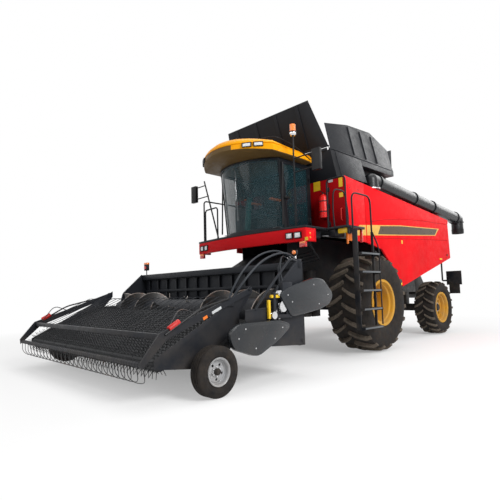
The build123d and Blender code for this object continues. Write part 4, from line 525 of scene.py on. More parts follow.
class HarvesterSizes(bpy.types.PropertyGroup):
    """Sizes and colours of the detailed pieces."""

    red: FloatVectorProperty(
        name="Body red", description="Paint of the body panels", subtype="COLOR", size=3, min=0, max=1,
        default=(0.82, 0.0105, 0.016),
    )
    yellow: FloatVectorProperty(
        name="Roof and rim yellow", description="Paint of the cab roof and the wheel rims",
        subtype="COLOR", size=3, min=0, max=1, default=(0.95, 0.385, 0.006),
    )
    charcoal: FloatVectorProperty(
        name="Header charcoal", description="Paint of the header and pickup", subtype="COLOR", size=3,
        min=0, max=1, default=(0.02, 0.022, 0.027),
    )
    front_lugs: IntProperty(
        name="Front tyre lugs", description="Lugs along each half of a front tyre", default=20, min=12,
        max=40,
    )
    rear_lugs: IntProperty(
        name="Rear tyre lugs", description="Lugs along each half of a rear tyre", default=19, min=12,
        max=40,
    )
    lug_depth: FloatProperty(
        name="Lug depth", description="Height of the front tyres' lugs", default=0.055, unit="LENGTH"
    )


def tyre_profile(outer_r, half_w, bore_r, bead_half_w, flange_h):
    """Half section of a tyre as (radius, along) points, from one bead to the other."""
    bead_r = bore_r + flange_h + 0.008
    shoulder_r = outer_r * 0.905
    middle_r = (bead_r + shoulder_r) / 2
    side = [
        (bore_r + 0.001, bead_half_w), (bead_r, bead_half_w),
        (bead_r + 0.03, bead_half_w + (half_w - bead_half_w) * 0.55), (middle_r - 0.04, half_w * 0.985),
        (middle_r + 0.03, half_w), (shoulder_r - 0.05, half_w * 0.985), (shoulder_r, half_w * 0.93),
        (shoulder_r + 0.012, half_w * 0.8), (shoulder_r + 0.024, half_w * 0.45),
        (shoulder_r + 0.028, 0.0),
    ]
    return side + [(radius, -at) for radius, at in reversed(side[:-1])]


Z_TO_X = spin(pi / 2, "Y")


def lugged_tyre(outer_r, half_w, bore_r, bead_half_w, flange_h, lugs, depth, lug_w, steps):
    """Tyre about the X axis with slanting lugs in two staggered rows."""
    tyre = Workpiece()
    ring = turned(tyre_profile(outer_r, half_w, bore_r, bead_half_w, flange_h), steps)
    tyre.add(ring, Z_TO_X)
    base_r = outer_r - depth - 0.022
    reach = half_w * 0.93
    sweep = 0.3 * outer_r
    for row in (1, -1):
        bar = bmesh.new()
        bmesh.ops.create_grid(bar, x_segments=6, y_segments=1, size=0.5)
        top = bmesh.ops.extrude_face_region(bar, geom=list(bar.faces))
        moved = [item for item in top["geom"] if isinstance(item, bmesh.types.BMVert)]
        bmesh.ops.translate(bar, verts=moved, vec=(0, 0, 1))
        bmesh.ops.recalc_face_normals(bar, faces=bar.faces)
        # across runs from the middle of the tread, 0, to the shoulder, 1
        for vert in bar.verts:
            across = vert.co.x + 0.5
            crown = 1 - 0.028 * across ** 2
            width = lug_w * (1.35 - 0.4 * (1 - across))
            taper = 1.0 if vert.co.z < 0.5 else 0.72
            slant = sweep * (across - 0.35 * across ** 2)
            drop = max(0.0, across - 0.84) / 0.16
            height = base_r if vert.co.z < 0.5 else outer_r * crown
            radius = height - 0.1 * drop * outer_r * 0.6
            angle = (slant + vert.co.y * width * taper) / outer_r
            x = row * (0.012 + across * reach)
            if drop > 0.99:
                x = row * (half_w + (0.008 if vert.co.z > 0.5 else -0.03))
            vert.co = (x, radius * sin(angle), -radius * cos(angle))
        if row > 0:
            bmesh.ops.reverse_faces(bar, faces=bar.faces)
        bmesh.ops.recalc_face_normals(bar, faces=bar.faces)
        stagger = 0 if row > 0 else pi / lugs
        places = [spin(stagger + 2 * pi * i / lugs, "X") for i in range(lugs)]
        tyre.add(bar, places, material=1)
    return tyre


class HARVESTER_OT_finishes(bpy.types.Operator):
    """Makes the paints, metals, rubbers and glass"""

    bl_idname = "harvester.finishes"
    bl_label = "Finishes"

    def execute(self, context):
        """Makes every material that the pieces use."""
        sizes = context.scene.harvester
        red, yellow, charcoal = (tuple(c) for c in (sizes.red, sizes.yellow, sizes.charcoal))
        paint("red_paint", red, 0.5, dust=0.1, dust_low=0.9, dust_high=2.6, coat=0.0, specular=0.03)
        # Darker copy of the body red: painted shade, for the front wall's forward faces and the thin
        # lines under the panel creases.
        paint("shaded_red_paint", tuple(c * 0.42 for c in red), 0.35, dust=0.2, coat=0.0, specular=0.03)
        paint(
            "yellow_paint", yellow, 0.26, dust=0.35, dust_low=0.2, dust_high=1.6, coat=0.0,
            specular=0.06,
        )
        paint(
            "black_paint", (0.011, 0.012, 0.015), 0.38, dust=0.22, dust_low=0.2, dust_high=2.4,
            coat=0.0, specular=0.14,
        )
        paint(
            "charcoal_paint", charcoal, 0.4, dust=0.16, dust_low=0.1, dust_high=1.2, coat=0.0,
            specular=0.12,
        )
        paint(
            "rim_yellow", (0.62, 0.31, 0.022), 0.4, dust=0.55, dust_low=0.4, dust_high=2.6, coat=0.0,
            specular=0.1,
        )
        paint(
            "silver_paint", (0.341, 0.347, 0.358), 0.28, dust=0.5, dust_low=0.0, dust_high=0.7,
            coat=0.3,
        )
        bare_metal("galvanised", (0.55, 0.56, 0.57), 0.42, rust=0.05)
        bare_metal("worn_steel", (0.045, 0.043, 0.042), 0.45, rust=0.22, metallic=0.5)
        bare_metal("flight_edge", (0.34, 0.31, 0.29), 0.4, rust=0.4)
        bare_metal("tine_steel", (0.03, 0.03, 0.032), 0.5, rust=0.25, metallic=0.3)
        paint(
            "shield_gloss", (0.012, 0.015, 0.019), 0.22, dust=0.1, dust_low=0.1, dust_high=1.2,
            coat=0.35, specular=0.3,
        )
        bare_metal("bright_steel", (0.72, 0.72, 0.73), 0.2)
        bare_metal("engine_iron", (0.08, 0.08, 0.085), 0.55, metallic=0.4)
        tyre_rubber("tyre_rubber", 0.28, (0.12, 0.09, 0.065))
        tyre_rubber("tread_rubber", 0.75, (0.2, 0.165, 0.13), 0.16)
        plastic("black_plastic", (0.012, 0.012, 0.013), 0.42, specular=0.2)
        plastic("belt_rubber", (0.022, 0.023, 0.025), 0.6, 200.0, 0.35)
        plastic("grey_plastic", (0.09, 0.092, 0.096), 0.55)
        plastic("seat_fabric", (0.035, 0.038, 0.045), 0.85, 900.0, 0.5)
        plastic("yellow_label", (0.86, 0.55, 0.02), 0.4, 60.0, 0.05)
        # Brown of the visor's lettered band, also put on the visor's downward faces all round as
        # painted shade.
        paint("visor_band_and_underside_shade", (0.14, 0.085, 0.03), 0.4, dust=0.1, coat=0.0, specular=0.1)
        plastic("steering_teal", (0.02, 0.16, 0.15), 0.4)
        paint("extinguisher_red", (0.8, 0.012, 0.01), 0.3, dust=0.0, coat=0.1, specular=0.2)
        paint("tube_paint", (0.012, 0.013, 0.015), 0.3, dust=0.2, coat=0.15)
        # The bumper is body red, darkened to three quarters all over as painted shade.
        paint("shaded_bumper_red", tuple(c * 0.75 for c in red), 0.4, dust=0.1, coat=0.0, specular=0.05)
        # Lighter steel for the outboard edge of each ladder tread: painted highlight.
        bare_metal("tread_edge_highlight", (0.11, 0.12, 0.13), 0.4, metallic=0.4)
        plastic("hose_rubber", (0.018, 0.022, 0.028), 0.45, specular=0.3)
        plastic("stripe_black", (0.055, 0.028, 0.006), 0.3, 60.0, 0.05)
        plastic("label_pale", (0.55, 0.57, 0.58), 0.4, 60.0, 0.05)
        plastic("orange_label", (0.86, 0.2, 0.02), 0.4, 60.0, 0.05)
        plastic("red_sleeve", (0.55, 0.02, 0.015), 0.4, 60.0, 0.05)
        plastic("gold_stripe", (0.75, 0.42, 0.06), 0.3, 60.0, 0.05)
        plastic("mirror_glass", (0.5, 0.52, 0.55), 0.08, 30.0, 0.02)
        clear_glass("cab_glass", (0.014, 0.044, 0.054), 0.36)
        lamp_lens("clear_lens", (0.82, 0.84, 0.86))
        lamp_lens("amber_lens", (0.95, 0.22, 0.01), 0.15)
        lamp_lens("red_lens", (0.7, 0.012, 0.01))
        return {"FINISHED"}


# Material of each CAD node that stays in view
NODE_FINISH = {
    "red_paint": (
        "threshing_housing", "side_panel_left", "side_panel_right", "rear_hood", "bumper",
        "extinguisher",
    ),
    # the front wall's CAD node takes the darker red, painted shade
    "shaded_red_paint": ("front_wall",),
    "yellow_paint": (
        "front_rim_left", "front_rim_right", "rear_rim_left", "rear_rim_right", "cab_roof",
    ),
    "black_paint": (
        "front_axle", "rear_axle", "knuckle_left", "knuckle_right", "chassis_frame", "body_frame",
        "chopper", "tank_rim", "flap_front", "flap_rear", "flap_left", "flap_right", "platform",
        "cab_shell", "cab_door", "handrails", "ladder", "unload_tube", "tail_boards", "feeder_house",
        "lift_barrels",
    ),
    "charcoal_paint": ("header_frame", "pickup_deck", "hold_down"),
    "silver_paint": ("gauge_rim_left", "gauge_rim_right"),
    "galvanised": ("cleaning_shoe", "grain_tank"), "worn_steel": ("header_auger",),
    "bright_steel": ("lift_rods",), "engine_iron": ("engine_block",),
    "tyre_rubber": (
        "front_tyre_left", "front_tyre_right", "rear_tyre_left", "rear_tyre_right", "gauge_tyre_left",
        "gauge_tyre_right",
    ),
    "black_plastic": ("mirrors",), "grey_plastic": ("cab_interior",), "belt_rubber": ("pickup_belts",),
    "cab_glass": ("cab_glass", "cab_door_glass"),
}


class HARVESTER_OT_node_finish(bpy.types.Operator):
    """Gives each CAD node its finish"""

    bl_idname = "harvester.node_finish"
    bl_label = "Finish of the CAD nodes"

    def execute(self, context):
        """Assigns the material of every node."""
        for material, nodes in NODE_FINISH.items():
            for node in nodes:
                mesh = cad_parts[node].data
                mesh.materials.clear()
                mesh.materials.append(bpy.data.materials["finish_" + material])
        return {"FINISHED"}


class HARVESTER_OT_tyres(bpy.types.Operator):
    """Lugged tyres of the front and rear wheels, ribbed ones of the header"""

    bl_idname = "harvester.tyres"
    bl_label = "Tyres"

    def execute(self, context):
        """Builds all six tyres."""
        sizes = context.scene.harvester
        rubbers = ["tyre_rubber", "tread_rubber"]
        for name, side in (("left", 1), ("right", -1)):
            front = lugged_tyre(
                FRONT_TYRE_R, 0.38, *FRONT_SEAT, sizes.front_lugs, sizes.lug_depth, lug_w=0.07,
                steps=88,
            )
            rear = lugged_tyre(
                REAR_TYRE_R, 0.24, *REAR_SEAT, sizes.rear_lugs, depth=0.042, lug_w=0.052, steps=72
            )
            gauge = ribbed_tyre(bore_r=0.1525, half_w=0.095, bead_half_w=0.075, flange_h=0.014)
            gauge.bm.transform(Z_TO_X)
            for wheel, tyre, centre in (
                ("front", front, FRONT_WHEEL), ("rear", rear, REAR_WHEEL),
                ("gauge", gauge, GAUGE_WHEEL),
            ):
                tyre.bm.transform(wheel_frame(centre, side))
                tyre.finish(
                    wheel + "_tyre_tread_" + name, wheel + "_wheel_" + name, rubbers, "tyre_rubber",
                    (wheel + "_tyre_" + name,),
                )
        return {"FINISHED"}


def pierced_plate(outline, holes, depth):
    """Flat plate in X and Y with openings, from its outline and the outlines of the holes."""
    curve = bpy.data.curves.new("plate", "CURVE")
    curve.dimensions = "2D"
    curve.fill_mode = "BOTH"
    curve.extrude = depth / 2
    for loop in [outline] + holes:
        spline = curve.splines.new("POLY")
        spline.points.add(len(loop) - 1)
        for point, (x, y) in zip(spline.points, loop):
            point.co = (x, y, 0, 1)
        spline.use_cyclic_u = True
    shape = curve_shape(curve)
    bmesh.ops.recalc_face_normals(shape, faces=shape.faces)
    bmesh.ops.translate(shape, verts=shape.verts, vec=(0, 0, depth / 2))
    return shape


def round_loop(x, y, radius, points=16, stretch=1.0):
    """Round outline about a point, stretched along Y where asked."""
    return [
        (x + radius * cos(2 * pi * i / points), y + stretch * radius * sin(2 * pi * i / points))
        for i in range(points)
    ]


def box_loop(x, y, w, h):
    """Rectangle about a point."""
    return [
        (x - w / 2, y - h / 2), (x + w / 2, y - h / 2), (x + w / 2, y + h / 2), (x - w / 2, y + h / 2)
    ]


def ring_places(count, radius, turn=0.0):
    """Places on a circle about Z, each turned outwards."""
    return [spin(turn + 2 * pi * i / count, "Z") @ shift(radius, 0, 0) for i in range(count)]


def bolt(radius, height):
    """Hexagonal head with its washer, standing on Z."""
    head = rod(radius, height, 6, radius * 0.12)
    washer = rod(radius * 1.35, height * 0.25, 16)
    mesh = bpy.data.meshes.new("washer")
    washer.to_mesh(mesh)
    head.from_mesh(mesh)
    washer.free()
    bpy.data.meshes.remove(mesh)
    return head


def deep_rim(bore_r, bead_half_w, flange_h, disc_x, hub_r, hub_out, bolts, holes):
    """Rim about the Z axis, its outer side at +Z: stepped barrel, pierced disc, hub, cap and bolts."""
    rim = Workpiece()
    barrel = bore_r - 0.0003
    lip = bead_half_w + 0.0003
    flange = barrel + flange_h
    rim.add(
        turned(
            [
                (barrel - 0.03, -lip - 0.012), (flange - 0.004, -lip - 0.014), (flange, -lip - 0.008),
                (flange, -lip), (barrel, -lip), (barrel, lip), (flange, lip), (flange, lip + 0.008),
                (flange - 0.004, lip + 0.014), (flange - 0.012, lip + 0.012),
                (barrel - 0.006, lip + 0.008), (barrel - 0.016, lip - 0.01),
                (barrel - 0.02, lip - 0.055), (barrel - 0.044, lip - 0.075),
                (barrel - 0.05, lip - 0.11), (barrel - 0.052, disc_x + 0.03),
                (barrel - 0.052, disc_x - 0.06), (barrel - 0.022, disc_x - 0.1),
                (barrel - 0.02, -lip + 0.01),
            ],
            96,
        ),
    )
    disc_r = barrel - 0.05
    openings = [
        round_loop((disc_r + hub_r) / 2 * cos(a), (disc_r + hub_r) / 2 * sin(a), (disc_r - hub_r) * 0.2)
        for a in (2 * pi * i / holes for i in range(holes))
    ]
    disc = pierced_plate(
        round_loop(0, 0, disc_r, 96), openings + [round_loop(0, 0, hub_r * 0.9, 64)], 0.016
    )
    rim.add(disc, shift(0, 0, disc_x))
    rim.add(
        turned(
            [
                (hub_r * 1.12, disc_x + 0.012), (hub_r * 1.1, disc_x + 0.03),
                (hub_r * 0.98, disc_x + 0.04), (hub_r * 0.8, disc_x + 0.045),
                (hub_r * 0.74, hub_out - 0.012), (hub_r * 0.68, hub_out), (0.0, hub_out + 0.002),
                (0.0, disc_x - 0.02), (hub_r * 1.05, disc_x - 0.02),
            ],
            64, closed=True,
        ),
        material=1,
    )
    rim.add(
        bolt(0.015, 0.02),
        [shift(0, 0, disc_x + 0.038) @ place for place in ring_places(bolts, hub_r * 0.9)], material=2,
    )
    rim.add(
        rod(0.006, 0.05, 10), shift(disc_r - 0.01, 0.06, disc_x + 0.012) @ spin(radians(35), "Y"),
        material=2,
    )
    return rim


# Half section of the gauge tyre's tread, as (radius, along) points
RIBBED_TREAD = [
    (0.27, 0.0885), (0.283, 0.084), (0.2935, 0.074), (0.295, 0.07), (0.295, 0.05), (0.286, 0.048),
    (0.286, 0.04), (0.295, 0.038), (0.295, 0.017), (0.286, 0.015), (0.286, 0.007), (0.295, 0.005),
]


def ribbed_tyre(bore_r, half_w, bead_half_w, flange_h):
    """Tyre about the Z axis with ribs and grooves round the tread."""
    bead_r = bore_r + flange_h + 0.008
    side = [
        (bore_r + 0.001, bead_half_w), (bead_r, bead_half_w), (bead_r + 0.012, bead_half_w + 0.01),
        (0.205, half_w * 0.98), (0.225, half_w), (0.228, half_w + 0.0015), (0.232, half_w),
        (0.25, half_w * 0.98), *RIBBED_TREAD,
    ]
    tyre = Workpiece()
    tyre.add(turned(side + [(radius, -at) for radius, at in reversed(side)], 96))
    return tyre


class HARVESTER_OT_rims(bpy.types.Operator):
    """Rims with their discs, hubs, bolts and valves"""

    bl_idname = "harvester.rims"
    bl_label = "Rims"

    def execute(self, context):
        """Builds all six rims."""
        for name, side in (("left", 1), ("right", -1)):
            front = deep_rim(
                *FRONT_SEAT, disc_x=-0.09, hub_r=0.19, hub_out=0.078, bolts=16, holes=10
            )
            rear = deep_rim(*REAR_SEAT, disc_x=0.04, hub_r=0.11, hub_out=0.118, bolts=10, holes=8)
            for wheel, rim, centre, barrel, hub, slot in (
                ("front", front, FRONT_WHEEL, "rim_yellow", "rim_yellow", "yellow_paint"),
                ("rear", rear, REAR_WHEEL, "rim_yellow", "black_paint", "yellow_paint"),
                ("gauge", gauge_rim(), GAUGE_WHEEL, "silver_paint", "black_paint", "silver_paint"),
            ):
                rim.bm.transform(wheel_frame(centre, side) @ Z_TO_X)
                rim.finish(
                    wheel + "_rim_dish_" + name, wheel + "_wheel_" + name,
                    [barrel, hub, "bright_steel"], slot, (wheel + "_rim_" + name,),
                )
        return {"FINISHED"}


def gauge_rim():
    """Small silver rim about the Z axis: barrel, disc with round holes, hub and nuts."""
    rim = Workpiece()
    barrel, lip, flange = 0.1522, 0.0753, 0.1662
    rim.add(
        turned(
            [
                (barrel - 0.014, -lip - 0.01), (flange - 0.002, -lip - 0.014), (flange, -lip - 0.008),
                (flange, -lip), (barrel, -lip), (barrel, lip), (flange, lip), (flange, lip + 0.008),
                (flange - 0.003, lip + 0.013), (flange - 0.008, lip + 0.012),
                (barrel - 0.006, lip + 0.002), (barrel - 0.012, lip - 0.01),
                (barrel - 0.016, lip - 0.04), (barrel - 0.03, lip - 0.052), (barrel - 0.034, 0.01),
                (barrel - 0.034, -0.03), (barrel - 0.016, -0.045), (barrel - 0.014, -lip + 0.01),
            ],
            72,
        ),
    )
    holes = [
        round_loop(0.086 * cos(a), 0.086 * sin(a), 0.017, 14)
        for a in (2 * pi * i / 5 for i in range(5))
    ]
    rim.add(pierced_plate(round_loop(0, 0, 0.12, 72), holes, 0.007), shift(0, 0, 0.018))
    rim.add(turned([(0.066, 0.018), (0.064, 0.031), (0.052, 0.034), (0.0, 0.034), (0.0, 0.018)], 48))
    rim.add(
        turned(
            [
                (0.04, 0.033), (0.04, 0.058), (0.034, 0.064), (0.034, 0.071), (0.028, 0.078),
                (0.0, 0.079), (0.0, 0.033),
            ],
            40,
        ),
        material=1,
    )
    rim.add(
        bolt(0.009, 0.012), [shift(0, 0, 0.034) @ place for place in ring_places(6, 0.053)], material=2
    )
    rim.add(rod(0.0035, 0.04, 10), shift(0.1, 0.03, 0.02), material=2)
    return rim


# CAD nodes shown with their edges rounded: bevel in metres, body, finish
DRESSED = (
    ("front_axle", 0.006, "chassis", "black_paint"), ("rear_axle", 0.006, "chassis", "black_paint"),
    ("knuckle_left", 0.005, "knuckle_left", "black_paint"),
    ("knuckle_right", 0.005, "knuckle_right", "black_paint"),
    ("chassis_frame", 0.006, "chassis", "black_paint"), ("body_frame", 0.004, "chassis", "black_paint"),
    # The bumper's finish is the body red darkened, painted shade.
    ("platform", 0.004, "chassis", "black_paint"), ("bumper", 0.012, "chassis", "shaded_bumper_red"),
    ("handrails", 0.0, "chassis", "black_paint"), ("tail_boards", 0.004, "chassis", "black_paint"),
    ("cab_shell", 0.006, "chassis", "black_paint"), ("cab_door", 0.005, "cab_door", "black_paint"),
    ("tank_rim", 0.004, "chassis", "black_paint"), ("flap_front", 0.004, "flap_front", "black_paint"),
    ("flap_rear", 0.004, "flap_rear", "black_paint"), ("flap_left", 0.004, "flap_left", "black_paint"),
    ("flap_right", 0.004, "flap_right", "black_paint"),
    ("feeder_house", 0.006, "header", "black_paint"),
    ("lift_barrels", 0.003, "lift_barrels", "black_paint"),
    ("chopper", 0.006, "chassis", "black_paint"),
)


class HARVESTER_OT_dress(bpy.types.Operator):
    """Rounds the edges of the nodes that keep their own shape"""

    bl_idname = "harvester.dress"
    bl_label = "Dressed nodes"

    def execute(self, context):
        """Makes a dressed copy of each node in the table."""
        for node, bevel, body, material in DRESSED:
            # The shaded bumper red stands for the body's red paint.
            slot = "red_paint" if material == "shaded_bumper_red" else material
            dressed_copy(node, bevel, [material], slot, body)
        return {"FINISHED"}


def ribbon(points, width, depth=0.0015):
    """Raised line along points in X and Y, as a flat strip."""
    return plate(sheet_strip(points, width), depth)


STRIPE_LOW = [(-0.75, 2.235), (-0.12, 2.292), (1.4, 2.392), (3.36, 2.53)]
STRIPE_TOP = [(3.61, 2.733), (1.42, 2.628), (-0.03, 2.497), (-0.3, 2.482)]


class HARVESTER_OT_body(bpy.types.Operator):
    """Side panels with their trim, front wall, rear hood and vents, housing, tank and shoe"""

    bl_idname = "harvester.body"
    bl_label = "Body"

    def execute(self, context):
        """Builds the body's skin details."""
        left_face = side_frame(BODY_HALF_W + DECAL_GAP)
        right_face = MIRROR_X @ left_face
        for name, face in (("left", left_face), ("right", right_face)):
            dressed_copy("side_panel_" + name, 0.012, ["red_paint"], "red_paint", "side_panel_" + name)
            trim = Workpiece()
            low = [(PANEL_FRONT_Y + 0.02, 2.29)] + STRIPE_LOW[1:]
            top = STRIPE_TOP[:2] + [(PANEL_FRONT_Y + 0.02, 2.503)]
            trim.add(plate(low[:1] + STRIPE_LOW[2:] + top, 0.0016), face)
            inner_low = [(0.4, 2.345), (1.4, 2.411), (3.33, 2.547)]
            inner_top = [(3.5, 2.708), (1.42, 2.607), (0.52, 2.53)]
            trim.add(plate(inner_low + inner_top, 0.0026), face, 1)
            for points in (
                [(PANEL_FRONT_Y + 0.02, 2.575), (0.7, 2.7), (1.45, 2.79), (2.6, 2.86), (4.15, 2.905)],
                [(PANEL_FRONT_Y + 0.02, 2.242), (1.4, 2.335), (2.8, 2.4), (4.15, 2.465)],
            ):
                trim.add(ribbon(points, 0.016, 0.004), face, 2)
                # A thin line of the darker red just below each raised crease: painted shadow under the
                # crease.
                trim.add(ribbon([(y, z - 0.012) for y, z in points], 0.007, 0.0012), face, 3)
            for y, z, w, h in (
                (1.47, 2.247, 0.06, 0.08), (1.33, 1.3, 0.06, 0.08), (3.62, 1.93, 0.16, 0.035)
            ):
                trim.add(
                    block((0.002, w, h), 0.0005), face @ shift(y, z, 0.001) @ side_frame(0).inverted(),
                    4,
                )
            for y, z in ((0.25, 1.95), (4.05, 2.05)):
                trim.add(
                    turned([(0, 0), (0.028, 0), (0.028, 0.006), (0.022, 0.009), (0, 0.009)], 24),
                    face @ shift(y, z, 0), 5,
                )
            trim.finish(
                "panel_trim_" + name, "side_panel_" + name,
                [
                    "gold_stripe", "stripe_black", "red_paint", "shaded_red_paint", "yellow_label",
                    "black_plastic",
                ],
                "red_paint",
            )
        # The front wall is body red: faces turned forwards take the darker red as painted shade, side
        # faces the plain red.
        wall = dressed_copy(
            "front_wall", 0.008, ["shaded_red_paint", "red_paint"], "red_paint", "chassis"
        )
        for polygon in wall.data.polygons:
            polygon.material_index = 1 if abs(polygon.normal.x) > 0.7 else 0
        marks = Workpiece()
        front = front_frame(BODY_FRONT_Y - DECAL_GAP)
        for x, z, w, h, material in (
            (0.915, 3.33, 0.17, 0.2, 0), (1.49, 3.31, 0.09, 0.2, 0), (1.255, 3.385, 0.11, 0.08, 1),
            (1.49, 3.05, 0.09, 0.09, 0),
        ):
            marks.add(plate(box_loop(x, z, w, h), 0.001), front, material)
        marks.pipe(
            [
                (1.5, BODY_FRONT_Y, 2.78), (1.5, BODY_FRONT_Y - 0.045, 2.77),
                (1.5, BODY_FRONT_Y - 0.045, 2.55), (1.5, BODY_FRONT_Y, 2.54),
            ],
            0.011, 0.02, 2,
        )
        marks.box((0.012, 0.006, 1.02), (1.2, BODY_FRONT_Y - 0.002, 2.86), 0.002, 3)
        for z in (2.5, 2.86, 3.2):
            marks.box((0.05, 0.016, 0.09), (1.2, BODY_FRONT_Y - 0.006, z), 0.004, 3)
        for y in (BODY_FRONT_Y + 0.18, BODY_FRONT_Y + 0.48):
            for side in (-1, 1):
                place = shift(side * BODY_HALF_W, y, 3.2) @ spin(side * pi / 2, "Y")
                marks.add(bolt(0.01, 0.006), place, 3)
        # gold lead of the stripe on the front columns
        lead = [
            STRIPE_LOW[0], (PANEL_FRONT_Y - 0.012, 2.288), (PANEL_FRONT_Y - 0.012, 2.5), STRIPE_TOP[3]
        ]
        marks.add(plate(lead, 0.0016), (left_face, right_face), 4)
        marks.finish(
            "front_wall_marks", "chassis",
            ["yellow_label", "label_pale", "red_sleeve", "black_plastic", "gold_stripe"], "red_paint",
        )
        for node, bevel, material, slot in (
            ("rear_hood", 0.01, "red_paint", "red_paint"),
            # The threshing housing is red like the body, but drawn in black paint as painted shade
            # under the platform.
            ("threshing_housing", 0.006, "black_paint", "red_paint"),
            ("grain_tank", 0.003, "galvanised", "galvanised"),
            ("cleaning_shoe", 0.004, "galvanised", "galvanised"),
        ):
            dressed_copy(node, bevel, [material], slot, "chassis")
        vents = Workpiece()
        back = BODY_REAR_Y + DECAL_GAP
        for x in (-0.75, 0.75):
            for i in range(9):
                vents.add(
                    block((0.9, 0.012, 0.03), 0.003),
                    shift(x, back + 0.007, 2.28 + i * 0.055) @ spin(radians(28), "X"),
                )
        for side in (-1, 1):
            vents.box((0.1, 0.03, 0.22), (side * 1.42, back + 0.012, 2.75), 0.008, 1)
            vents.box((0.08, 0.012, 0.09), (side * 1.42, back + 0.03, 2.8), 0.004, 2)
            vents.box((0.08, 0.012, 0.09), (side * 1.42, back + 0.03, 2.7), 0.004, 3)
        vents.finish(
            "rear_vents", "chassis", ["black_plastic", "black_plastic", "red_lens", "amber_lens"],
            "black_plastic",
        )
        return {"FINISHED"}


class HARVESTER_OT_unload_tube(bpy.types.Operator):
    """Unloading tube with its rings, elbow and spout"""

    bl_idname = "harvester.unload_tube"
    bl_label = "Unloading tube"

    def execute(self, context):
        """Builds the tube with its rings and spout."""
        start = Vector((1.44, FRONT_AXLE_Y + 0.7, 3.55))
        drop, length, r = 0.076, 4.88, 0.16
        ahead = Vector((0, 1, -drop)).normalized()
        end = start + ahead * length
        tube_piece = Workpiece()
        tube_piece.add(rod(r, 0.188, 48), shift(start.x, start.y, 3.3623))
        tube_piece.add(rod(r + 0.03, 0.02, 48, 0.004), shift(start.x, start.y, 3.3625))
        tube_piece.add(ball(r, 48), (Matrix.Translation(start), Matrix.Translation(end)))
        lay = along(start, end)
        tube_piece.add(rod(r, length, 48), lay)
        ring = [(r - 0.01, -0.012), (r + 0.022, -0.012), (r + 0.022, 0.012), (r - 0.01, 0.012)]
        # flanges along the tube, from the elbow
        for at in (0.22, 0.25, 1.95, 3.02, 3.05, 4.62):
            tube_piece.add(turned(ring, 48), lay @ shift(0, 0, at))
            tube_piece.add(
                bolt(0.007, 0.01),
                [lay @ shift(0, 0, at + 0.012) @ place for place in ring_places(10, r + 0.011)], 1,
            )
        for at in (1.98, 3.08):
            tube_piece.add(
                turned([(r, 0.0), (r + 0.012, 0.0), (r + 0.012, 0.1), (r, 0.1)], 48),
                lay @ shift(0, 0, at),
            )
        tube_piece.add(
            turned(
                [
                    (r - 0.006, -0.42), (r, -0.42), (r + 0.004, -0.41), (r, -0.25), (r, 0.0),
                    (r - 0.006, 0.0),
                ],
                48,
            ),
            Matrix.Translation(end),
        )
        tube_piece.add(
            turned([(r - 0.012, -0.43), (r + 0.003, -0.43), (r + 0.007, -0.3), (r - 0.002, -0.3)], 48),
            Matrix.Translation(end), 2,
        )
        tube_piece.add(turned(ring, 48), Matrix.Translation(end) @ shift(0, 0, -0.1))
        tube_piece.finish(
            "unload_tube_rings", "unload_tube", ["tube_paint", "bright_steel", "black_plastic"],
            "black_paint", ("unload_tube",),
        )
        return {"FINISHED"}


CAB_REAR_Y = FRONT_AXLE_Y - 0.7
ROOF_NOSE_Y = FRONT_AXLE_Y - 2.45
ROOF_SHOULDER_Y = FRONT_AXLE_Y - 1.96
ROOF_TAIL_Y = FRONT_AXLE_Y - 0.74
ROOF_SWEEP = 1.265
ROOF_FLANK_Y = (-1.75, -1.35, -1.1)
ROOF_FALL_Y = -2.2
ROOF_FALL_RUN = 1.3
ROOF_BOTTOM_Z = 3.7405


def roof_ring(inset, z, nose_rise=0.0, tail_drop=0.0):
    """Plan outline of the roof at a height, pulled in by the inset."""
    half = 1.0 - inset
    points = []
    nose = ROOF_NOSE_Y + inset
    reach = ROOF_SHOULDER_Y - ROOF_NOSE_Y
    for i in range(25):
        t = -1 + i / 12
        points.append(
            Vector(
                (
                    half * t, nose + reach * t * t * (1 - 0.12 * (1 - t * t)),
                    z + nose_rise * (1 - t * t),
                ),
            ),
        )
    tail = ROOF_TAIL_Y - inset * 0.4
    flank = [
        (half - inwards, y, z - tail_drop * (y - ROOF_FALL_Y) / ROOF_FALL_RUN)
        for inwards, y in zip((0, 0, 0.02, 0.06), (*ROOF_FLANK_Y, tail))
    ]
    points += [Vector(place) for place in flank]
    for i in range(1, 6):
        points.append(Vector(((half - 0.06) * (1 - i / 3), tail, z - tail_drop * 0.95)))
    points += [Vector((-x, y, height)) for x, y, height in reversed(flank)]
    return points


def skin(rings, cap=True):
    """Closed skin over rings of equal length."""
    shape = bmesh.new()
    rows = [[shape.verts.new(point) for point in ring] for ring in rings]
    for low, high in zip(rows, rows[1:]):
        for i in range(len(low)):
            shape.faces.new((low[i - 1], low[i], high[i], high[i - 1]))
    if cap:
        shape.faces.new(rows[0])
        shape.faces.new(rows[-1])
    bmesh.ops.remove_doubles(shape, verts=shape.verts, dist=1e-05)
    bmesh.ops.recalc_face_normals(shape, faces=shape.faces)
    return shape


def add_lamp(piece, width, height, depth, place):
    """Adds a square lamp looking along +Z, with its lens in the second material."""
    housing = pierced_plate(
        box_loop(0, 0, width, height), [box_loop(0, 0, width - 0.022, height - 0.022)], depth
    )
    lens = block((width - 0.024, height - 0.024, depth * 0.7), 0.004)
    bmesh.ops.translate(lens, verts=lens.verts, vec=(0, 0, depth * 0.5))
    piece.add(housing, place)
    piece.add(lens, place, 1)


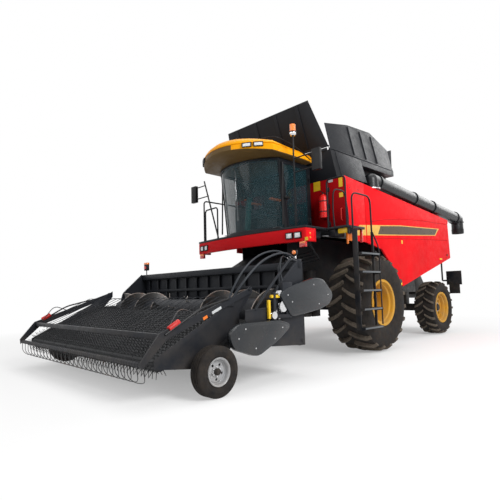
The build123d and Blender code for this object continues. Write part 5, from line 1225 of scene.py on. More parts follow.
class HARVESTER_OT_cab(bpy.types.Operator):
    """Cab roof with its visor and lamps, frames, wiper and door gear"""

    bl_idname = "harvester.cab"
    bl_label = "Cab"

    def execute(self, context):
        """Builds the roof and what is on the cab."""
        roof = Workpiece()
        bottom = ROOF_BOTTOM_Z
        band = skin(
            [
                roof_ring(0.36, bottom), roof_ring(0.1, bottom + 0.03, 0.04),
                roof_ring(0.012, bottom + 0.035, 0.075), roof_ring(0.0, bottom + 0.05, 0.075),
                roof_ring(0.0, bottom + 0.165, 0.04, 0.03),
                roof_ring(0.004, bottom + 0.172, 0.04, 0.035),
            ],
        )
        upper = skin(
            [
                roof_ring(0.01, bottom + 0.172, 0.04, 0.035),
                roof_ring(-0.004, bottom + 0.182, 0.04, 0.04),
                roof_ring(0.0, bottom + 0.2, 0.045, 0.05), roof_ring(0.03, bottom + 0.235, 0.06, 0.09),
                roof_ring(0.1, bottom + 0.275, 0.08, 0.12), roof_ring(0.22, bottom + 0.315, 0.09, 0.14),
                roof_ring(0.4, bottom + 0.35, 0.09, 0.15), roof_ring(0.64, bottom + 0.37, 0.08, 0.15),
            ],
        )
        roof.add(band, material=1)
        roof.add(upper)
        sweep_at = shift(0, ROOF_NOSE_Y + ROOF_SWEEP, bottom + 0.16)
        lamps = Workpiece()
        for turn, width in ((-40, 0.16), (-30, 0.16), (30, 0.18), (40, 0.18)):
            look = sweep_at @ spin(radians(turn), "Z") @ shift(0, -ROOF_SWEEP, 0) @ spin(pi / 2, "X")
            add_lamp(lamps, width, 0.085, 0.05, look @ shift(0, 0, -0.034))
        # the bumper's front at its middle, and the radius of its sweep
        bumper_y, bumper_sweep = -2.125, 8.32
        for side in (-1, 1):
            for x in (1.19, 1.36):
                turn = radians(17.6 if x < 1.3 else 20.0)
                y = bumper_y + x * x / (2 * bumper_sweep)
                look = (
                    shift(side * x, y - 0.006, 2.175) @ spin(side * turn * 0.47, "Z")
                    @ spin(pi / 2, "X")
                )
                add_lamp(lamps, 0.14, 0.11, 0.045, look @ shift(0, 0, -0.03))
            # marker block outboard of the lamps, with two small ambers
            lamps.box((0.07, 0.22, 0.19), (side * 1.49, -1.86, 2.165), 0.014, 2)
            lamps.box((0.14, 0.05, 0.12), (side * 1.43, -1.955, 2.02), 0.008, 3)
            lamps.box((0.13, 0.052, 0.045), (side * 1.43, -1.957, 2.045), 0.006, 4)
            for z in (2.13, 2.2):
                lamps.add(
                    ball(0.022, 16), shift(side * 1.527, -1.87, z) @ Matrix.Diagonal((0.5, 1, 1, 1)), 4
                )
        hat = roof.finish(
            "cab_roof_visor", "chassis", ["yellow_paint", "visor_band_and_underside_shade"], "yellow_paint", ("cab_roof",)
        )
        # The brown stays on the band left of x = 0.3 in front of the shoulder, the visor's lettered
        # band, and on every face turned downwards as painted shade under the visor; the rest turns
        # yellow.
        for polygon in hat.data.polygons:
            face = polygon.center.x > 0.3 or polygon.center.y > ROOF_SHOULDER_Y
            if polygon.material_index and face and polygon.normal.z > -0.6:
                polygon.material_index = 0
        lamps.finish(
            "work_lamps_lenses", "chassis",
            ["black_plastic", "clear_lens", "red_paint", "red_lens", "amber_lens"], "lamp_lens",
            ("work_lamps",),
        )
        gear = Workpiece()
        wiper = [(-0.12, -2.115, 3.68), (-0.1, -2.125, 3.3), (-0.07, -2.11, 2.62)]
        gear.pipe([(-0.12, -2.09, 3.72)] + wiper[:2] + [(-0.1, -2.13, 3.05)], 0.007, 0.1, 1)
        gear.add(block((0.012, 0.012, 0.95), 0.003), along(wiper[0], wiper[2]) @ shift(0, 0, 0.58), 1)
        gear.pipe(
            [(0.6, -2.14, 4.1), (0.95, -2.1, 4.09), (1.04, -1.6, 3.98), (0.98, -1.05, 3.82)], 0.01,
            0.25,
        )
        for side in (-1, 1):
            gear.pipe([(side * 0.875, -1.84, 2.45), (side * 0.875, -1.8, 3.66)], 0.016, 0.1)
        gear.box((0.03, 0.14, 0.05), (0.885, -1.72, 2.98), 0.01)
        gear.finish("cab_gear", "chassis", ["black_plastic", "bright_steel"], "black_plastic")
        return {"FINISHED"}


BEACON_LENS_Z = 4.13


class HARVESTER_OT_mirrors(bpy.types.Operator):
    """Mirrors with their glass, masts and the amber beacon"""

    bl_idname = "harvester.mirrors"
    bl_label = "Mirrors and beacon"

    def execute(self, context):
        """Dresses the masts and adds glass and beacon."""
        masts = dressed_copy(
            "mirrors", 0.003, ["black_plastic", "amber_lens"], "black_plastic", "chassis"
        )
        for polygon in masts.data.polygons:
            polygon.material_index = int(polygon.center.z > BEACON_LENS_Z)
        extra = Workpiece()
        for side in (-1, 1):
            extra.add(
                plate(box_loop(0, 0, 0.15, 0.35), 0.003, 0.02),
                shift(side * 1.76, -1.9051 + 0.036, 3.48) @ spin(-pi / 2, "X"),
            )
        extra.add(
            turned([(0.03, -0.05), (0.044, -0.05), (0.062, -0.008), (0.062, 0.004), (0.03, 0.004)], 36),
            shift(1.22, -1.875, 4.108), 2,
        )
        extra.finish(
            "mirror_glass_beacon", "chassis", ["mirror_glass", "amber_lens", "bright_steel"],
            "lamp_lens",
        )
        return {"FINISHED"}


SEAT_Y = CAB_REAR_Y - 0.42
FLOOR_Z = 2.4


def cushion(size, corner, crown):
    """Stuffed pad about the origin, crowned on its upper side, with pulled-in sides."""
    shape = block(size, corner, 4)
    bmesh.ops.subdivide_edges(shape, edges=shape.edges, cuts=3, use_grid_fill=True)
    for vert in shape.verts:
        across = 1 - min(1, abs(vert.co.x) / (size[0] / 2)) ** 2
        length = 1 - min(1, abs(vert.co.y) / (size[1] / 2)) ** 2
        if vert.co.z > 0:
            vert.co.z += crown * across * length
        pull = 0.012 * cos(pi * vert.co.z / size[2])
        vert.co.x -= pull * (1 if vert.co.x > 0 else -1) * (abs(vert.co.x) > size[0] * 0.45)
        vert.co.y -= pull * (1 if vert.co.y > 0 else -1) * (abs(vert.co.y) > size[1] * 0.45)
    for stitch in (-0.13, 0.13):
        for vert in shape.verts:
            if abs(vert.co.x - stitch * size[0] / 0.5) < 0.012 and vert.co.z > 0:
                vert.co.z -= 0.006
    return shape


class HARVESTER_OT_interior(bpy.types.Operator):
    """Driver's seat, console, steering column and wheel"""

    bl_idname = "harvester.interior"
    bl_label = "Cab interior"

    def execute(self, context):
        """Builds what shows through the glass."""
        for name, size, place, turn in (
            ("seat_cushion", (0.5, 0.48, 0.11), (0, SEAT_Y - 0.02, FLOOR_Z + 0.445), 0),
            ("seat_backrest", (0.47, 0.62, 0.1), (0, SEAT_Y + 0.235, FLOOR_Z + 0.82), 82),
            ("seat_headrest", (0.27, 0.16, 0.09), (0, SEAT_Y + 0.275, FLOOR_Z + 1.05), 82),
        ):
            pad = Workpiece()
            pad.add(cushion(size, 0.035, 0.022), Matrix.Translation(place) @ spin(radians(turn), "X"))
            cloth = pad.finish(name, "chassis", ["seat_fabric"], "interior_plastic", (), 60)
        inside = Workpiece()
        inside.add(block((0.3, 0.32, 0.34), 0.03, 3), shift(0, SEAT_Y, FLOOR_Z + 0.175))
        inside.box((0.46, 0.44, 0.04), (0, SEAT_Y - 0.01, FLOOR_Z + 0.366), 0.015)
        inside.add(
            plate([(0, 0), (0.04, 0.0), (0.12, 0.62), (0.08, 0.64)], 0.44, 0.01),
            side_frame(-0.22) @ shift(SEAT_Y + 0.27, FLOOR_Z + 0.45, 0),
        )
        inside.add(block((0.18, 0.62, 0.56), 0.03, 3), shift(-0.4, SEAT_Y - 0.16, FLOOR_Z + 0.285))
        inside.add(
            block((0.12, 0.3, 0.03), 0.012),
            shift(-0.4, SEAT_Y - 0.3, FLOOR_Z + 0.585) @ spin(radians(-12), "X"), 2,
        )
        for side in (-1, 1):
            inside.add(
                block((0.07, 0.34, 0.05), 0.02, 3), shift(side * 0.29, SEAT_Y - 0.04, FLOOR_Z + 0.68),
                3,
            )
            inside.add(rod(0.015, 0.26, 12), shift(side * 0.27, SEAT_Y + 0.06, FLOOR_Z + 0.42))
        inside.add(rod(0.014, 0.2, 16, 0.0, 0.01), shift(-0.4, SEAT_Y - 0.24, FLOOR_Z + 0.57))
        inside.add(
            ball(0.032, 20),
            shift(-0.4, SEAT_Y - 0.24, FLOOR_Z + 0.79) @ Matrix.Diagonal((0.8, 0.9, 1.4, 1)), 3,
        )
        inside.add(
            plate(
                [
                    (SEAT_Y - 0.64, FLOOR_Z), (SEAT_Y - 0.54, FLOOR_Z), (SEAT_Y - 0.475, FLOOR_Z + 0.7),
                    (SEAT_Y - 0.535, FLOOR_Z + 0.71),
                ],
                0.09, 0.02, 0.01,
            ),
            side_frame(-0.045), 1,
        )
        tilt = shift(0, SEAT_Y - 0.51, FLOOR_Z + 0.735) @ spin(radians(25), "X")
        ring = [(0.19 + 0.014 * cos(a), 0.014 * sin(a)) for a in (2 * pi * i / 12 for i in range(12))]
        inside.add(turned(ring, 48), tilt, 2)
        inside.add(rod(0.04, 0.03, 24, 0.006), tilt @ shift(0, 0, -0.015), 2)
        for turn in (90, 210, 330):
            inside.add(
                block((0.155, 0.028, 0.01), 0.004),
                tilt @ spin(radians(turn), "Z") @ shift(0.108, 0, 0), 2,
            )
        inside.add(
            block((0.2, 0.03, 0.15), 0.012),
            shift(-0.62, -1.55, FLOOR_Z + 0.95) @ spin(radians(25), "Z"), 2,
        )
        inside.add(rod(0.012, 0.5, 12), shift(-0.62, -1.53, FLOOR_Z + 0.4))
        inside.box((1.55, 0.9, 0.012), (0, -1.42, FLOOR_Z + 0.008), 0.004)
        inside.finish(
            "cab_fittings", "chassis",
            ["grey_plastic", "steering_teal", "black_plastic", "orange_label"], "interior_plastic",
            ("cab_interior",),
        )
        return {"FINISHED"}


class HARVESTER_OT_extinguisher(bpy.types.Operator):
    """Fire extinguisher with its valve, hose and straps"""

    bl_idname = "harvester.extinguisher"
    bl_label = "Extinguisher"

    def execute(self, context):
        """Builds the bottle on the front wall."""
        bottle = Workpiece()
        at = shift(1.13, -0.881, 2.62)
        r = 0.09
        bottle.add(
            turned(
                [
                    (0, 0), (r - 0.02, 0), (r, 0.012), (r, 0.4), (r * 0.8, 0.45), (r * 0.4, 0.475),
                    (0.02, 0.48), (0.02, 0.5), (0, 0.5),
                ],
                40,
            ),
            at,
        )
        bottle.add(block((0.03, 0.05, 0.035), 0.006), at @ shift(0, 0, 0.505), 1)
        bottle.add(
            block((0.02, 0.13, 0.012), 0.004), at @ shift(0, -0.04, 0.53) @ spin(radians(-14), "X"), 1
        )
        bottle.add(tube([(0.02, 0.0, 0.5), (0.1, 0.0, 0.5), (0.1, 0.0, 0.15)], 0.008, 0.05), at, 1)
        for z in (0.12, 0.33):
            bottle.add(
                turned(
                    [(r - 0.001, z), (r + 0.004, z), (r + 0.004, z + 0.02), (r - 0.001, z + 0.02)], 40
                ),
                at, 1,
            )
            bottle.add(block((0.06, 0.02, 0.03), 0.004), at @ shift(0, 0.0865, z + 0.01), 1)
        bottle.add(block((0.08, 0.02, 0.3), 0.003), at @ shift(0, 0.0856, 0.22), 1)
        bottle.finish(
            "extinguisher_bottle", "chassis", ["extinguisher_red", "black_plastic"], "red_paint",
            ("extinguisher",),
        )
        return {"FINISHED"}


LADDER_X = BODY_HALF_W + 0.4 + 0.06
LADDER_FRONT_Y = FRONT_AXLE_Y - 1.11
LADDER_REAR_Y = FRONT_AXLE_Y - 0.48
LADDER_FOOT_Z = 0.5
LADDER_TALL = 1.75
STEPS = 5
STEP_PITCH = 0.325


class HARVESTER_OT_ladder(bpy.types.Operator):
    """Ladder with pierced treads and its handrail"""

    bl_idname = "harvester.ladder"
    bl_label = "Ladder"

    def execute(self, context):
        """Builds stiles, treads and rail."""
        ladder = Workpiece()
        for y, width in ((LADDER_FRONT_Y, 0.1), (LADDER_REAR_Y, 0.045)):
            place = (LADDER_X + width / 2, y, LADDER_FOOT_Z + LADDER_TALL / 2)
            ladder.box((width, 0.028, LADDER_TALL), place, 0.005)
            for i in range(STEPS):
                z = LADDER_FOOT_Z + 0.02 + i * STEP_PITCH
                foot = plate([(0, -0.045), (0.17, -0.025), (0.17, 0.018), (0, 0.028)], 0.008, 0.01)
                ladder.add(foot, shift(LADDER_X, y + 0.004, z) @ spin(pi / 2, "X"))
        ladder.add(
            tube(
                [
                    (LADDER_X + 0.02, LADDER_FRONT_Y, 2.15), (LADDER_X + 0.02, LADDER_FRONT_Y, 2.92),
                    (LADDER_X + 0.02, LADDER_REAR_Y, 2.92), (LADDER_X + 0.02, LADDER_REAR_Y, 2.15),
                ],
                0.016, 0.16, 3, 6,
            ),
        )
        ladder.pipe(
            [
                (LADDER_X + 0.03, LADDER_REAR_Y, 2.25), (LADDER_X + 0.15, LADDER_REAR_Y, 1.95),
                (LADDER_X + 0.15, LADDER_REAR_Y, 0.56),
            ],
            0.013, 0.12,
        )
        pin = turned([(0.0112, 0), (0.018, 0), (0.018, 0.082), (0.0112, 0.082)], 24)
        ladder.add(pin, shift(2.01, LADDER_FRONT_Y, 2.199))
        ladder.box((0.032, 0.02, 0.082), (2.0435, LADDER_FRONT_Y, 2.24), 0.003)
        length = LADDER_REAR_Y - LADDER_FRONT_Y - 0.03
        middle = (LADDER_REAR_Y + LADDER_FRONT_Y) / 2
        holes = [
            round_loop(-0.05 + 0.05 * j, -length / 2 + 0.05 + i * 0.062, 0.017, 10)
            for i in range(int(length / 0.062))
            for j in range(3)
        ]
        tread = pierced_plate(box_loop(0, 0, 0.166, length), holes, 0.004)
        tread_z = LADDER_FOOT_Z + 0.036
        places = [shift(LADDER_X + 0.085, middle, tread_z + i * STEP_PITCH) for i in range(STEPS)]
        ladder.add(tread, places)
        # The outboard edge strip of each tread takes the lighter steel as a painted highlight, the
        # inboard one black paint.
        for x in (-0.08, 0.08):
            ladder.add(
                block((0.005, length, 0.032), 0.001), [p @ shift(x, 0, -0.014) for p in places],
                int(x > 0),
            )
        ladder.finish(
            "ladder_steps", "ladder", ["black_paint", "tread_edge_highlight"], "black_paint", ("ladder",)
        )
        return {"FINISHED"}


# Stations of the header and its pickup
HEADER_HALF_W = 2.17
HEADER_BACK_Y = FRONT_AXLE_Y - 2.7
BEAM_TOP_Z = 1.622
AUGER = Vector((0, FRONT_AXLE_Y - 3.26, 0.9))
ROLLER_FRONT = Vector((0, FRONT_AXLE_Y - 5.0, 0.43))
ROLLER_REAR = Vector((0, FRONT_AXLE_Y - 3.9, 0.86))
DECK_HALF_W = 1.99
GUARD_FRONT = Vector((0, FRONT_AXLE_Y - 5.23, 0.45))
GUARD_BAR = Vector((0, FRONT_AXLE_Y - 5.0, 0.73))


def sheet_strip(route, thickness):
    """Closed outline of a bent sheet along a route in X and Y."""
    route = [Vector(point) for point in route]
    normals = []
    for i, point in enumerate(route):
        run = route[min(i + 1, len(route) - 1)] - route[max(i - 1, 0)]
        normals.append(Vector((-run.y, run.x)).normalized() * thickness / 2)
    left = [tuple(point + normal) for point, normal in zip(route, normals)]
    right = [tuple(point - normal) for point, normal in zip(route, normals)]
    return left + right[::-1]


def helix_sheet(inner, outer, thickness, start_x, turns, pitch, side, steps=24):
    """Screw flight about X, from start_x inwards."""
    shape = bmesh.new()
    rings = []
    count = round(turns * steps)
    for i in range(count + 1):
        turn = side * 2 * pi * i / steps
        x = side * (start_x - pitch * i / steps)
        rings.append(
            [
                shape.verts.new((x + across, -radius * sin(turn), radius * cos(turn)))
                for across, radius in (
                    (-thickness / 2, inner), (thickness / 2, inner), (thickness / 2, outer),
                    (-thickness / 2, outer),
                )
            ],
        )
    for ring, after in zip(rings, rings[1:]):
        for i in range(4):
            shape.faces.new((ring[i - 1], ring[i], after[i], after[i - 1]))
    shape.faces.new(rings[0])
    shape.faces.new(rings[-1])
    bmesh.ops.recalc_face_normals(shape, faces=shape.faces)
    return shape


UPPER_SHIELD = [
    (-3.31, 1.16), (-3.15, 1.25), (-2.52, 1.39), (-2.31, 1.37), (-2.06, 1.14), (-2.15, 0.99),
    (-2.37, 0.92), (-3.07, 0.83), (-3.19, 1.0),
]
LOWER_SHIELD = [
    (-4.21, 0.64), (-4.2, 0.73), (-4.05, 0.82), (-3.32, 0.82), (-3.13, 0.77), (-3.11, 0.7),
    (-3.34, 0.55), (-3.71, 0.39), (-3.82, 0.4), (-4.15, 0.51),
]


class HARVESTER_OT_header_frame(bpy.types.Operator):
    """Header frame with trough, ribs, end sheets, drive shields, brackets and drive covers"""

    bl_idname = "harvester.header_frame"
    bl_label = "Header frame"

    def execute(self, context):
        """Builds the frame and its shields."""
        w = HEADER_HALF_W
        y0 = HEADER_BACK_Y
        top, bottom = 1.62, 0.42
        frame_piece = Workpiece()
        mouth = box_loop(0, 0.87, 1.0, 0.5)
        frame_piece.add(
            pierced_plate(box_loop(0, (top + bottom) / 2, 2 * w, top - bottom), [mouth], 0.012),
            front_frame(y0),
        )
        for z in (top - 0.055, bottom + 0.055):
            frame_piece.box((2 * w, 0.11, 0.11), (0, y0 - 0.067, z), 0.012)
        frame_piece.box((2 * w - 0.1, 0.05, 0.05), (0, y0 - 0.037, 1.27), 0.006)
        for i in range(13):
            x = -1.98 + i * 0.33
            low, high = (1.12, 1.5) if abs(x) < 0.55 else (0.53, 1.5)
            frame_piece.box((0.035, 0.045, high - low), (x, y0 - 0.034, (low + high) / 2), 0.005)
        trough_r = 0.365
        arc = [
            (AUGER.y + trough_r * sin(radians(a)), AUGER.z - trough_r * cos(radians(a)))
            for a in range(40, -61, -10)
        ]
        strip = sheet_strip([(y0 - 0.02, 0.585)] + arc + [(ROLLER_REAR.y + 0.108, 0.845)], 0.006)
        frame_piece.add(plate(strip, 2 * w), side_frame(-w))
        end = [
            (y0, top), (y0 - 0.13, top), (y0 - 0.57, 1.23), (y0 - 0.64, 0.98),
            (ROLLER_REAR.y + 0.02, 0.96), (ROLLER_REAR.y + 0.02, 0.66), (AUGER.y - 0.15, 0.47),
            (y0, bottom),
        ]
        frame_piece.add(plate(end, 0.008, 0.03), (side_frame(w - 0.008), side_frame(-w)))
        for side in (-1, 1):
            x = side * (w + 0.004)
            frame_piece.pipe([(x - side * 0.012, *p) for p in end[1:5]], 0.014, 0.03)
            frame_piece.add(
                rod(0.085, 0.03, 32, 0.006),
                shift(side * (w - 0.012), AUGER.y, AUGER.z) @ spin(side * pi / 2, "Y"),
            )
            frame_piece.add(
                bolt(0.011, 0.012),
                [
                    shift(side * (w + 0.016), AUGER.y, AUGER.z) @ spin(side * pi / 2, "Y") @ place
                    for place in ring_places(6, 0.065)
                ],
                material=2,
            )
        for outline, lean in ((UPPER_SHIELD, 0.08), (LOWER_SHIELD, 0.1)):
            shape = [(FRONT_AXLE_Y + y, z) for y, z in outline]
            frame_piece.add(plate(shape, 0.086, lean, 0.026), side_frame(w + 0.001), 1)
            middle = (sum(y for y, z in shape) / len(shape), sum(z for y, z in shape) / len(shape))
            inner = [
                (middle[0] + (y - middle[0]) * 0.86, middle[1] + (z - middle[1]) * 0.78)
                for y, z in shape
            ]
            frame_piece.add(plate(inner, 0.006, lean * 0.8, 0.003), side_frame(w + 0.083), 1)
            frame_piece.add(
                bolt(0.01, 0.006),
                [
                    (
                        side_frame(w + 0.086)
                        @ shift(
                            middle[0] + (y - middle[0]) * 0.74, middle[1] + (z - middle[1]) * 0.6, 0
                        )
                    )
                    for y, z in shape[::2]
                ],
                material=2,
            )
        # brackets, drive covers and steps between the shields
        for size, place, material in (
            ((0.05, 0.1, 0.34), (w + 0.03, -3.32, 1.02), 0),
            ((0.06, 0.3, 0.05), (w + 0.035, -3.42, 0.86), 0),
            ((0.05, 0.05, 0.42), (w + 0.03, -3.6, 0.98), 0),
            ((0.07, 0.2, 0.16), (w + 0.04, -3.36, 1.24), 0),
            ((0.04, 0.44, 0.04), (w + 0.03, -3.44, 1.13), 4),
            ((0.04, 0.04, 0.25), (w + 0.03, -3.7, 0.96), 4),
        ):
            frame_piece.add(block(size, 0.008), Matrix.Translation(place), material)
        for y, z, r in ((-3.44, 0.99, 0.075), (-3.62, 0.88, 0.05), (-3.5, 1.17, 0.04)):
            frame_piece.add(
                turned(
                    [
                        (0.0, 0), (r, 0), (r, 0.012), (r * 0.8, 0.014), (r * 0.8, 0.03), (r, 0.032),
                        (r, 0.044), (0, 0.044),
                    ],
                    28,
                ),
                side_frame(w + 0.02) @ shift(y, z, 0), 2,
            )
        frame_piece.finish(
            "header_frame_sheets", "header",
            ["charcoal_paint", "shield_gloss", "bright_steel", "label_pale", "yellow_label"],
            "header_paint", ("header_frame",),
        )
        return {"FINISHED"}


class HARVESTER_OT_header_auger(bpy.types.Operator):
    """Header auger: tube, screw flights with worn edges, fingers in their guides"""

    bl_idname = "harvester.header_auger"
    bl_label = "Header auger"

    def execute(self, context):
        """Builds the auger about its axis."""
        half = HEADER_HALF_W - 0.018
        start, pitch = half - 0.04, 0.56
        turns = (start - 0.52) / pitch
        auger = Workpiece()
        auger.add(
            turned(
                [
                    (0.03, 0.0), (0.2, 0.0), (0.2, half * 2), (0.03, half * 2), (0.03, half * 2 - 0.08),
                    (0.03, 0.08),
                ],
                48,
            ),
            shift(-half, 0, 0) @ spin(pi / 2, "Y"),
        )
        for side in (-1, 1):
            for material, inner, outer, thick in ((1, 0.197, 0.338, 0.006), (2, 0.33, 0.34, 0.012)):
                flight = helix_sheet(inner, outer, thick, start, turns, pitch, side)
                auger.add(flight, material=material)
        for i in range(10):
            place = spin(radians(i * 108), "X") @ shift(-0.45 + i * 0.1, 0, 0)
            auger.add(rod(0.0075, 0.115, 10), place @ shift(0, 0, 0.195), 2)
            auger.add(rod(0.034, 0.022, 16, 0.0, 0.018), place @ shift(0, 0, 0.196), 3)
            auger.add(
                bolt(0.007, 0.004), (place @ shift(0.045, 0, 0.198), place @ shift(-0.045, 0, 0.198)),
                2,
            )
        auger.bm.transform(Matrix.Translation(AUGER))
        auger.finish(
            "header_auger_screw", "header_auger",
            ["charcoal_paint", "worn_steel", "flight_edge", "black_plastic"], "worn_steel",
            ("header_auger",),
        )
        return {"FINISHED"}


class HARVESTER_OT_pickup(bpy.types.Operator):
    """Pickup belts with cleats and spring tines, deck with arms and rollers"""

    bl_idname = "harvester.pickup"
    bl_label = "Pickup"

    def execute(self, context):
        """Builds the belts and dresses the deck."""
        run = (ROLLER_REAR - ROLLER_FRONT).length
        middle = (ROLLER_REAR + ROLLER_FRONT) / 2
        slope = (ROLLER_REAR - ROLLER_FRONT).to_track_quat("Y", "Z").to_matrix().to_4x4()
        inner_r, belt_t = 0.0753, 0.0075
        width = (2 * (DECK_HALF_W - 0.008) - 9 * 0.014) / 8
        arcs = [
            (run / 2 + inner_r * sin(radians(a)), inner_r * cos(radians(a)))
            for a in range(0, 181, 15)
        ]
        arcs += [
            (-run / 2 - inner_r * sin(radians(a)), -inner_r * cos(radians(a)))
            for a in range(0, 181, 15)
        ]
        outer = [
            (
                y + belt_t * (y - min(max(y, -run / 2), run / 2)) / inner_r,
                z * (1 + belt_t / inner_r),
            )
            for y, z in arcs
        ]
        belt = Workpiece()
        belt.add(pierced_plate(outer, [arcs], width), side_frame(0))
        rows = 19
        cleats = [run * (i / rows - 0.5) + run / rows / 2 for i in range(rows)]
        places = [shift(0, y, 0) for y in cleats]
        places += [shift(0, y, 0) @ spin(pi, "X") for y in cleats[::2]]
        places += [shift(0, -run / 2, 0) @ spin(radians(a), "X") for a in (15, 48, 80, 112, 145)]
        places += [shift(0, run / 2, 0) @ spin(-radians(a), "X") for a in (20, 55, 90, 125, 160)]
        outer_r = inner_r + belt_t
        cleat = block((width - 0.02, 0.016, 0.006), 0.0015)
        belt.add(cleat, [p @ shift(width / 2, 0, outer_r + 0.002) for p in places])
        for i in range(6):
            x = width * (i + 0.5) / 6
            belt.add(
                rod(0.0052, 0.09, 5, 0.0, 0.0034),
                [p @ shift(x, 0.0, outer_r) @ spin(radians(9), "X") for p in places], 1,
            )
            seats = [p @ shift(x, 0, outer_r + 0.006) for p in places]
            belt.add(block((0.022, 0.022, 0.01), 0.002, 1), seats)
        belts = Workpiece()
        lay = Matrix.Translation(middle) @ slope
        belts.add(
            belt.bm,
            [shift(-DECK_HALF_W + 0.008 + 0.014 + i * (width + 0.014), 0, 0) @ lay for i in range(8)],
        )
        belts.finish(
            "pickup_belts_tined", "header", ["belt_rubber", "tine_steel"], "belt_rubber",
            ("pickup_belts",),
        )
        dressed_copy("pickup_deck", 0.005, ["charcoal_paint"], "header_paint", "header")
        return {"FINISHED"}


class HARVESTER_OT_hold_down(bpy.types.Operator):
    """Hold-down: wrapped front pipe, bar, rods over the belts and looped wires in front"""

    bl_idname = "harvester.hold_down"
    bl_label = "Hold-down"

    def execute(self, context):
        """Builds the hold-down with its rods and wires."""
        arm_in = DECK_HALF_W + 0.012
        guard = Workpiece()
        pivot = (FRONT_AXLE_Y - 3.65, 1.23)
        arm = [
            (pivot[0] + 0.045, pivot[1] + 0.03), (pivot[0] + 0.045, pivot[1] - 0.04),
            (GUARD_BAR.y + 0.06, GUARD_BAR.z - 0.03), (GUARD_FRONT.y - 0.03, GUARD_FRONT.z - 0.04),
            (GUARD_FRONT.y - 0.04, GUARD_FRONT.z + 0.04), (GUARD_BAR.y - 0.04, GUARD_BAR.z + 0.04),
        ]
        eye = round_loop(pivot[0], pivot[1], 0.0225, 20)
        for x in (arm_in, -arm_in - 0.024):
            guard.add(pierced_plate(arm, [eye], 0.024), side_frame(x))
        across = spin(pi / 2, "Y")
        for place, radius in ((GUARD_FRONT, 0.027), (GUARD_BAR, 0.021)):
            guard.add(rod(radius, 2 * arm_in, 20), shift(-arm_in, place.y, place.z) @ across)
        guard.add(block((2 * arm_in, 0.062, 0.062), 0.008), Matrix.Translation(GUARD_BAR))
        wraps, wrap_pitch = 66, 0.0599
        for i in range(wraps):
            x = -arm_in + 0.03 + i * wrap_pitch
            guard.add(
                turned([(0.0262, -0.004), (0.031, 0.0), (0.0262, 0.004)], 14),
                shift(x, GUARD_FRONT.y, GUARD_FRONT.z) @ spin(radians(14), "Z") @ across,
            )
        rear = Vector((0, ROLLER_REAR.y - 0.06, 1.15))
        rods, wire_r = 25, 0.0045
        for i in range(rods):
            x = -DECK_HALF_W + 0.08 + i * (2 * DECK_HALF_W - 0.16) / (rods - 1)
            guard.add(
                tube(
                    [
                        (x, GUARD_BAR.y - 0.02, GUARD_BAR.z - 0.045),
                        (x, GUARD_BAR.y - 0.03, GUARD_BAR.z + 0.022),
                        (x, GUARD_BAR.y + 0.1, GUARD_BAR.z + 0.065), (x, rear.y - 0.12, rear.z),
                        (x, rear.y, rear.z - 0.02),
                    ],
                    wire_r, 0.04, 1, 3,
                ),
            )
        loops = 26
        for i in range(loops):
            x = -arm_in + 0.06 + i * (2 * arm_in - 0.36) / (loops - 1)
            guard.add(
                tube(
                    [
                        (x, GUARD_FRONT.y - 0.02, GUARD_FRONT.z), (x - 0.02, GUARD_FRONT.y - 0.01, 0.3),
                        (x + 0.05, GUARD_FRONT.y + 0.04, 0.235),
                        (x + 0.2, GUARD_FRONT.y + 0.075, 0.235), (x + 0.27, GUARD_FRONT.y + 0.04, 0.31),
                        (x + 0.25, GUARD_FRONT.y + 0.01, GUARD_FRONT.z),
                    ],
                    wire_r, 0.08, 1, 4,
                ),
                material=1,
            )
        for side in (-1, 1):
            x = side * (arm_in + 0.012)
            guard.add(
                rod(0.034, 0.16, 20, 0.004),
                along((x, -5.14, 0.805), (x, -5.0, 0.882)), 2,
            )
            guard.pipe(
                [
                    (x + side * 0.02, -5.2, 0.75), (x + side * 0.03, -4.7, 1.02),
                    (x + side * 0.02, -4.25, 1.12),
                ],
                0.013, 0.1, 3,
            )
            guard.pipe(
                [
                    (x - side * 0.03, -5.15, 0.78), (x - side * 0.06, -4.95, 1.04),
                    (x - side * 0.03, -4.72, 0.95),
                ],
                0.007, 0.1, 1,
            )
            guard.add(
                block((0.004, 0.16, 0.035), 0.001),
                shift(x + side * 0.0135, -4.45, 0.985) @ spin(radians(23), "X"), 4,
            )
            guard.add(
                block((0.004, 0.07, 0.035), 0.001),
                shift(x + side * 0.0135, -4.63, 0.905) @ spin(radians(23), "X"), 5,
            )
        guard.finish(
            "hold_down_wires", "hold_down",
            [
                "charcoal_paint", "tine_steel", "red_sleeve", "black_plastic", "label_pale",
                "orange_label",
            ],
            "header_paint", ("hold_down",),
        )
        return {"FINISHED"}


def hose(name, points, radius, body):
    """Hose along the points, as a curve with a round section."""
    curve = bpy.data.curves.new(name, "CURVE")
    curve.dimensions = "3D"
    spline = curve.splines.new("NURBS")
    spline.points.add(len(points) - 1)
    for point, place in zip(spline.points, points):
        point.co = (*place, 1)
    spline.order_u = 3
    spline.use_endpoint_u = True
    spline.resolution_u = 12
    piece = bpy.data.objects.new(name, curve)
    line = bpy.data.meshes.new_from_object(piece)
    bpy.data.meshes.remove(line)
    curve.bevel_depth = radius
    curve.bevel_resolution = 3
    curve.use_fill_caps = True
    curve.materials.append(bpy.data.materials["finish_hose_rubber"])
    bpy.context.scene.collection.objects.link(piece)
    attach(piece, body)
    return piece


